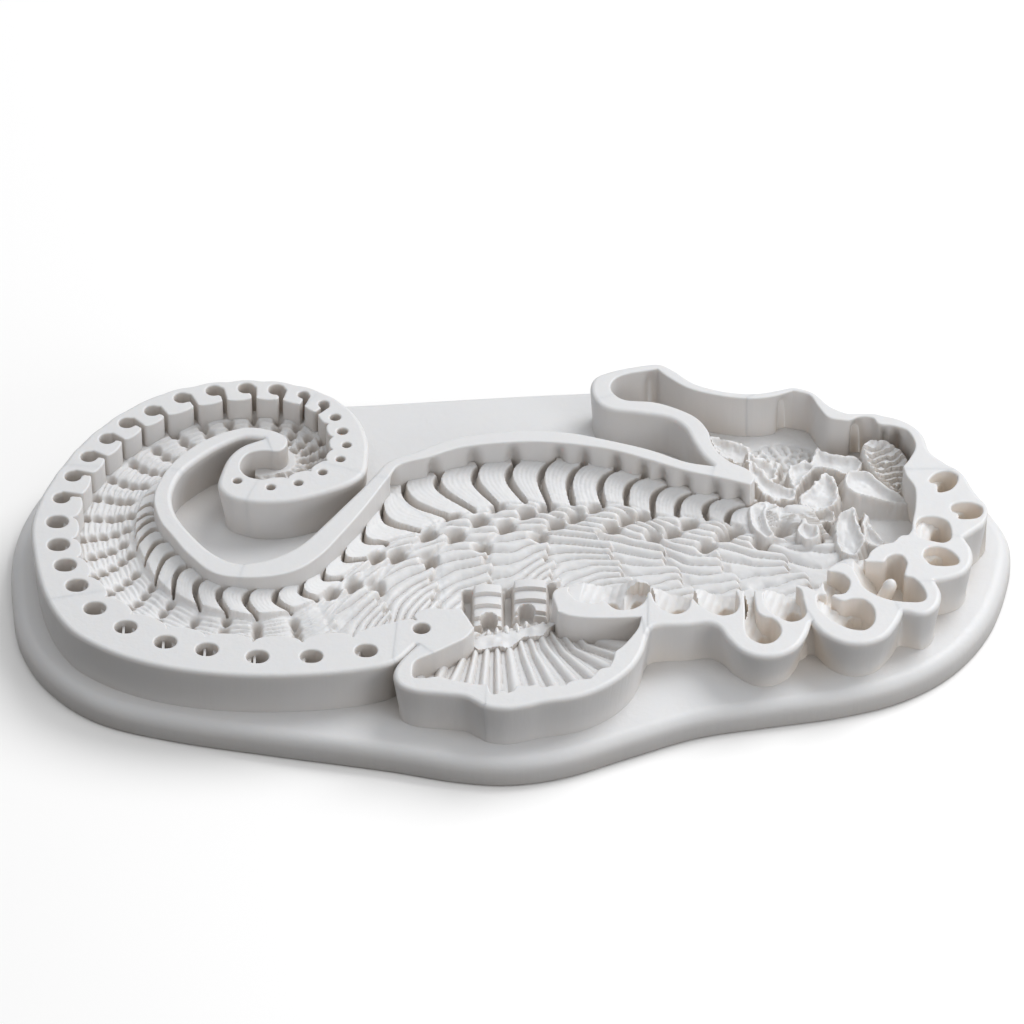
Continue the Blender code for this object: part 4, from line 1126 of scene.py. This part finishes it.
BODY_TINT = (0.68, 0.685, 0.695, 1)
CLOUD_TINT = (0.65, 0.655, 0.675, 1)
# painted light: upright faces get a slight tan tint, for light that comes through the walls
WALL_LIGHT_TINT = (1.0, 0.975, 0.95, 1)       # walls let warm light through
# painted shade: the darker colour that hollows take where the ambient occlusion finds them
HOLLOW_SHADE_TINT = (0.55, 0.515, 0.48, 1)
# painted glow: a lighter tan put into the pockets' hollows, for light that comes through the thin walls
POCKET_GLOW_TINT = (0.80, 0.73, 0.65, 1)     # thin walls let light through into the pockets


def feed(tree, socket, value):
    """Set an input to a value, or join it to another node's output."""
    if hasattr(value, "is_output"):
        tree.links.new(value, socket)
    else:
        socket.default_value = value


def add(tree, kind, inputs, output=0):
    """A new shader node with some of its inputs fed; returns one of its outputs."""
    node = tree.nodes.new("ShaderNode" + kind)
    for key, value in inputs.items():
        feed(tree, node.inputs[key], value)
    return node.outputs[output]


def mix(tree, share, first, second, blend="MIX"):
    node = tree.nodes.new("ShaderNodeMix")
    node.data_type, node.blend_type = "RGBA", blend
    for key, value in ((0, share), (6, first), (7, second)):
        feed(tree, node.inputs[key], value)
    return node.outputs[2]


def silicone(name, painted_hollow_tint):
    """Light grey casting silicone: soft scattering, painted light and shade in the hollows by the tint
    given, painted light on upright faces, faint marks of the mould.
    """
    mat = bpy.data.materials.new(name)
    mat.use_nodes = True
    tree = mat.node_tree
    place = add(tree, "TexCoord", {}, "Object")

    def noise(scale, detail, stretch=(1, 1, 1)):
        turned = add(tree, "Mapping", {"Scale": stretch, "Vector": place})
        return add(tree, "TexNoise", {"Scale": scale, "Detail": detail, "Vector": turned})

    def ramp(value, low, high, start, stop):
        return add(tree, "MapRange", {"Value": value, "From Min": low, "From Max": high,
                                      "To Min": start, "To Max": stop})

    # Painted light and shade in the hollows: where ambient occlusion finds a hollow, the colour moves to the
    # hollow tint
    hollow = tree.nodes.new("ShaderNodeAmbientOcclusion")
    hollow.samples = 6
    hollow.inputs["Distance"].default_value = 9 * MM
    painted_shading = mix(tree, ramp(hollow.outputs["AO"], 0.08, 0.68, 0, 1), painted_hollow_tint, BODY_TINT)
    upward = add(tree, "SeparateXYZ", {"Vector": add(tree, "NewGeometry", {}, "True Normal")}, "Z")
    # Painted light: upright faces are tinted by the wall light tint, for light that comes through the walls
    painted_shading = mix(tree, ramp(upward, 0.2, 0.8, 1, 0), painted_shading, WALL_LIGHT_TINT, "MULTIPLY")
    cloudy = mix(tree, ramp(noise(70, 3), 0.35, 0.7, 0, 0.5), painted_shading, mix(tree, 0.5, CLOUD_TINT, painted_shading))
    grain = add(tree, "Bump", {"Strength": 0.12, "Distance": 0.12 * MM, "Height": noise(1500, 3)})
    drawn = add(tree, "Bump", {"Strength": 0.25, "Distance": 0.25 * MM,
                               "Height": noise(700, 2, (1, 1, 0.05)), "Normal": grain})
    finish = {"Base Color": cloudy, "Normal": drawn, "Roughness": ramp(noise(420, 4), 0.3, 0.7, 0.40, 0.54),
              "IOR": 1.41, "Subsurface Weight": 0.25, "Subsurface Radius": (1.0, 0.82, 0.66),
              "Subsurface Scale": 1.6 * MM}
    for key, value in finish.items():
        feed(tree, tree.nodes["Principled BSDF"].inputs[key], value)
    return mat


# ---------------------------------------------------------------- light, floor, camera

def area_light(name, place, size, power):
    """A round lamp that looks at the part's origin."""
    data = bpy.data.lights.new(name, "AREA")
    data.shape = "DISK"
    data.size = size
    data.energy = power
    lamp = placed(name, data)
    lamp.location = place
    lamp.rotation_euler = (-Vector(place)).to_track_quat("-Z", "Y").to_euler()


def white_paper():
    """Near-white paper with a faint cloudiness."""
    paper = bpy.data.materials.new("white_paper")
    paper.use_nodes = True
    tree = paper.node_tree
    tint = tree.nodes.new("ShaderNodeValToRGB")
    for element, grey in zip(tint.color_ramp.elements, (0.93, 0.95)):
        element.color = (grey, grey, grey, 1)
    feed(tree, tint.inputs["Fac"], add(tree, "TexNoise", {"Scale": 3}))
    shader = tree.nodes["Principled BSDF"]
    feed(tree, shader.inputs["Base Color"], tint.outputs["Color"])
    feed(tree, shader.inputs["Roughness"], 0.9)
    return paper


def build_sky():
    """White surroundings that are brighter towards the zenith."""
    world = bpy.data.worlds.new("studio")
    world.use_nodes = True
    tree = world.node_tree
    way = add(tree, "TexCoord", {}, "Generated")
    height = add(tree, "SeparateXYZ", {"Vector": way}, "Z")
    background = tree.nodes["Background"]
    feed(tree, background.inputs["Color"], (1, 1, 1, 1))
    feed(tree, background.inputs["Strength"],
         add(tree, "MapRange", {"Value": height, "To Min": 0.09, "To Max": 0.87}))
    bpy.context.scene.world = world
    bpy.context.scene.view_settings.view_transform = "Standard"


def build_studio():
    """Sky, a large key light at the back right, a small fill light by the front, and the paper."""
    build_sky()
    area_light("key", (0.55, 0.5, 0.8), 0.7, 7.6)
    area_light("fill", (0.24, -0.22, 0.13), 0.16, 0.28)
    mesh = bpy.data.meshes.new("floor")
    mesh.from_pydata([(-3, -3, 0), (3, -3, 0), (3, 3, 0), (-3, 3, 0)], [], [(0, 1, 2, 3)])
    mesh.materials.append(white_paper())
    floor = placed("floor", mesh)
    floor.visible_diffuse = False       # the paper throws no light back on the mould's front


CAMERA_TILT = math.radians(38)      # how far the camera looks down
CAMERA_AWAY = 1300                  # millimetres from the rim plane's middle
FRAME_WIDTH = 173.6                 # millimetres that the frame spans at that distance
FRAME_DROP = 8.1                    # the plan frame's origin lies this far below the frame's middle


def build_camera():
    data = bpy.data.cameras.new("camera")
    data.lens = data.sensor_width * CAMERA_AWAY / FRAME_WIDTH
    data.clip_end = 10
    camera = placed("camera", data)
    c, s = math.cos(CAMERA_TILT), math.sin(CAMERA_TILT)
    camera.location = Vector((-PLAN_MID[0], -PLAN_MID[1] - CAMERA_AWAY * c + FRAME_DROP * s,
                              RIM_Z + CAMERA_AWAY * s + FRAME_DROP * c)) * MM
    camera.rotation_euler = (math.pi / 2 - CAMERA_TILT, 0, 0)
    bpy.context.scene.camera = camera


def main():
    build_camera()
    build_studio()
    # the main copy of the silicone, with painted shade in its hollows
    body = silicone("silicone", HOLLOW_SHADE_TINT)
    # the pockets' copy of the silicone, the same but with a painted glow in its hollows
    pocket = silicone("silicone_painted_glow", POCKET_GLOW_TINT)
    build_slab(body)
    walls = wall_fields()
    build_rim(walls, body, pocket)
    build_floors(body, -walls["cavity"][0])
    build_pockets(body, pocket, walls)
    build_tail_sockets(body)
    build_pin(pocket)


main()
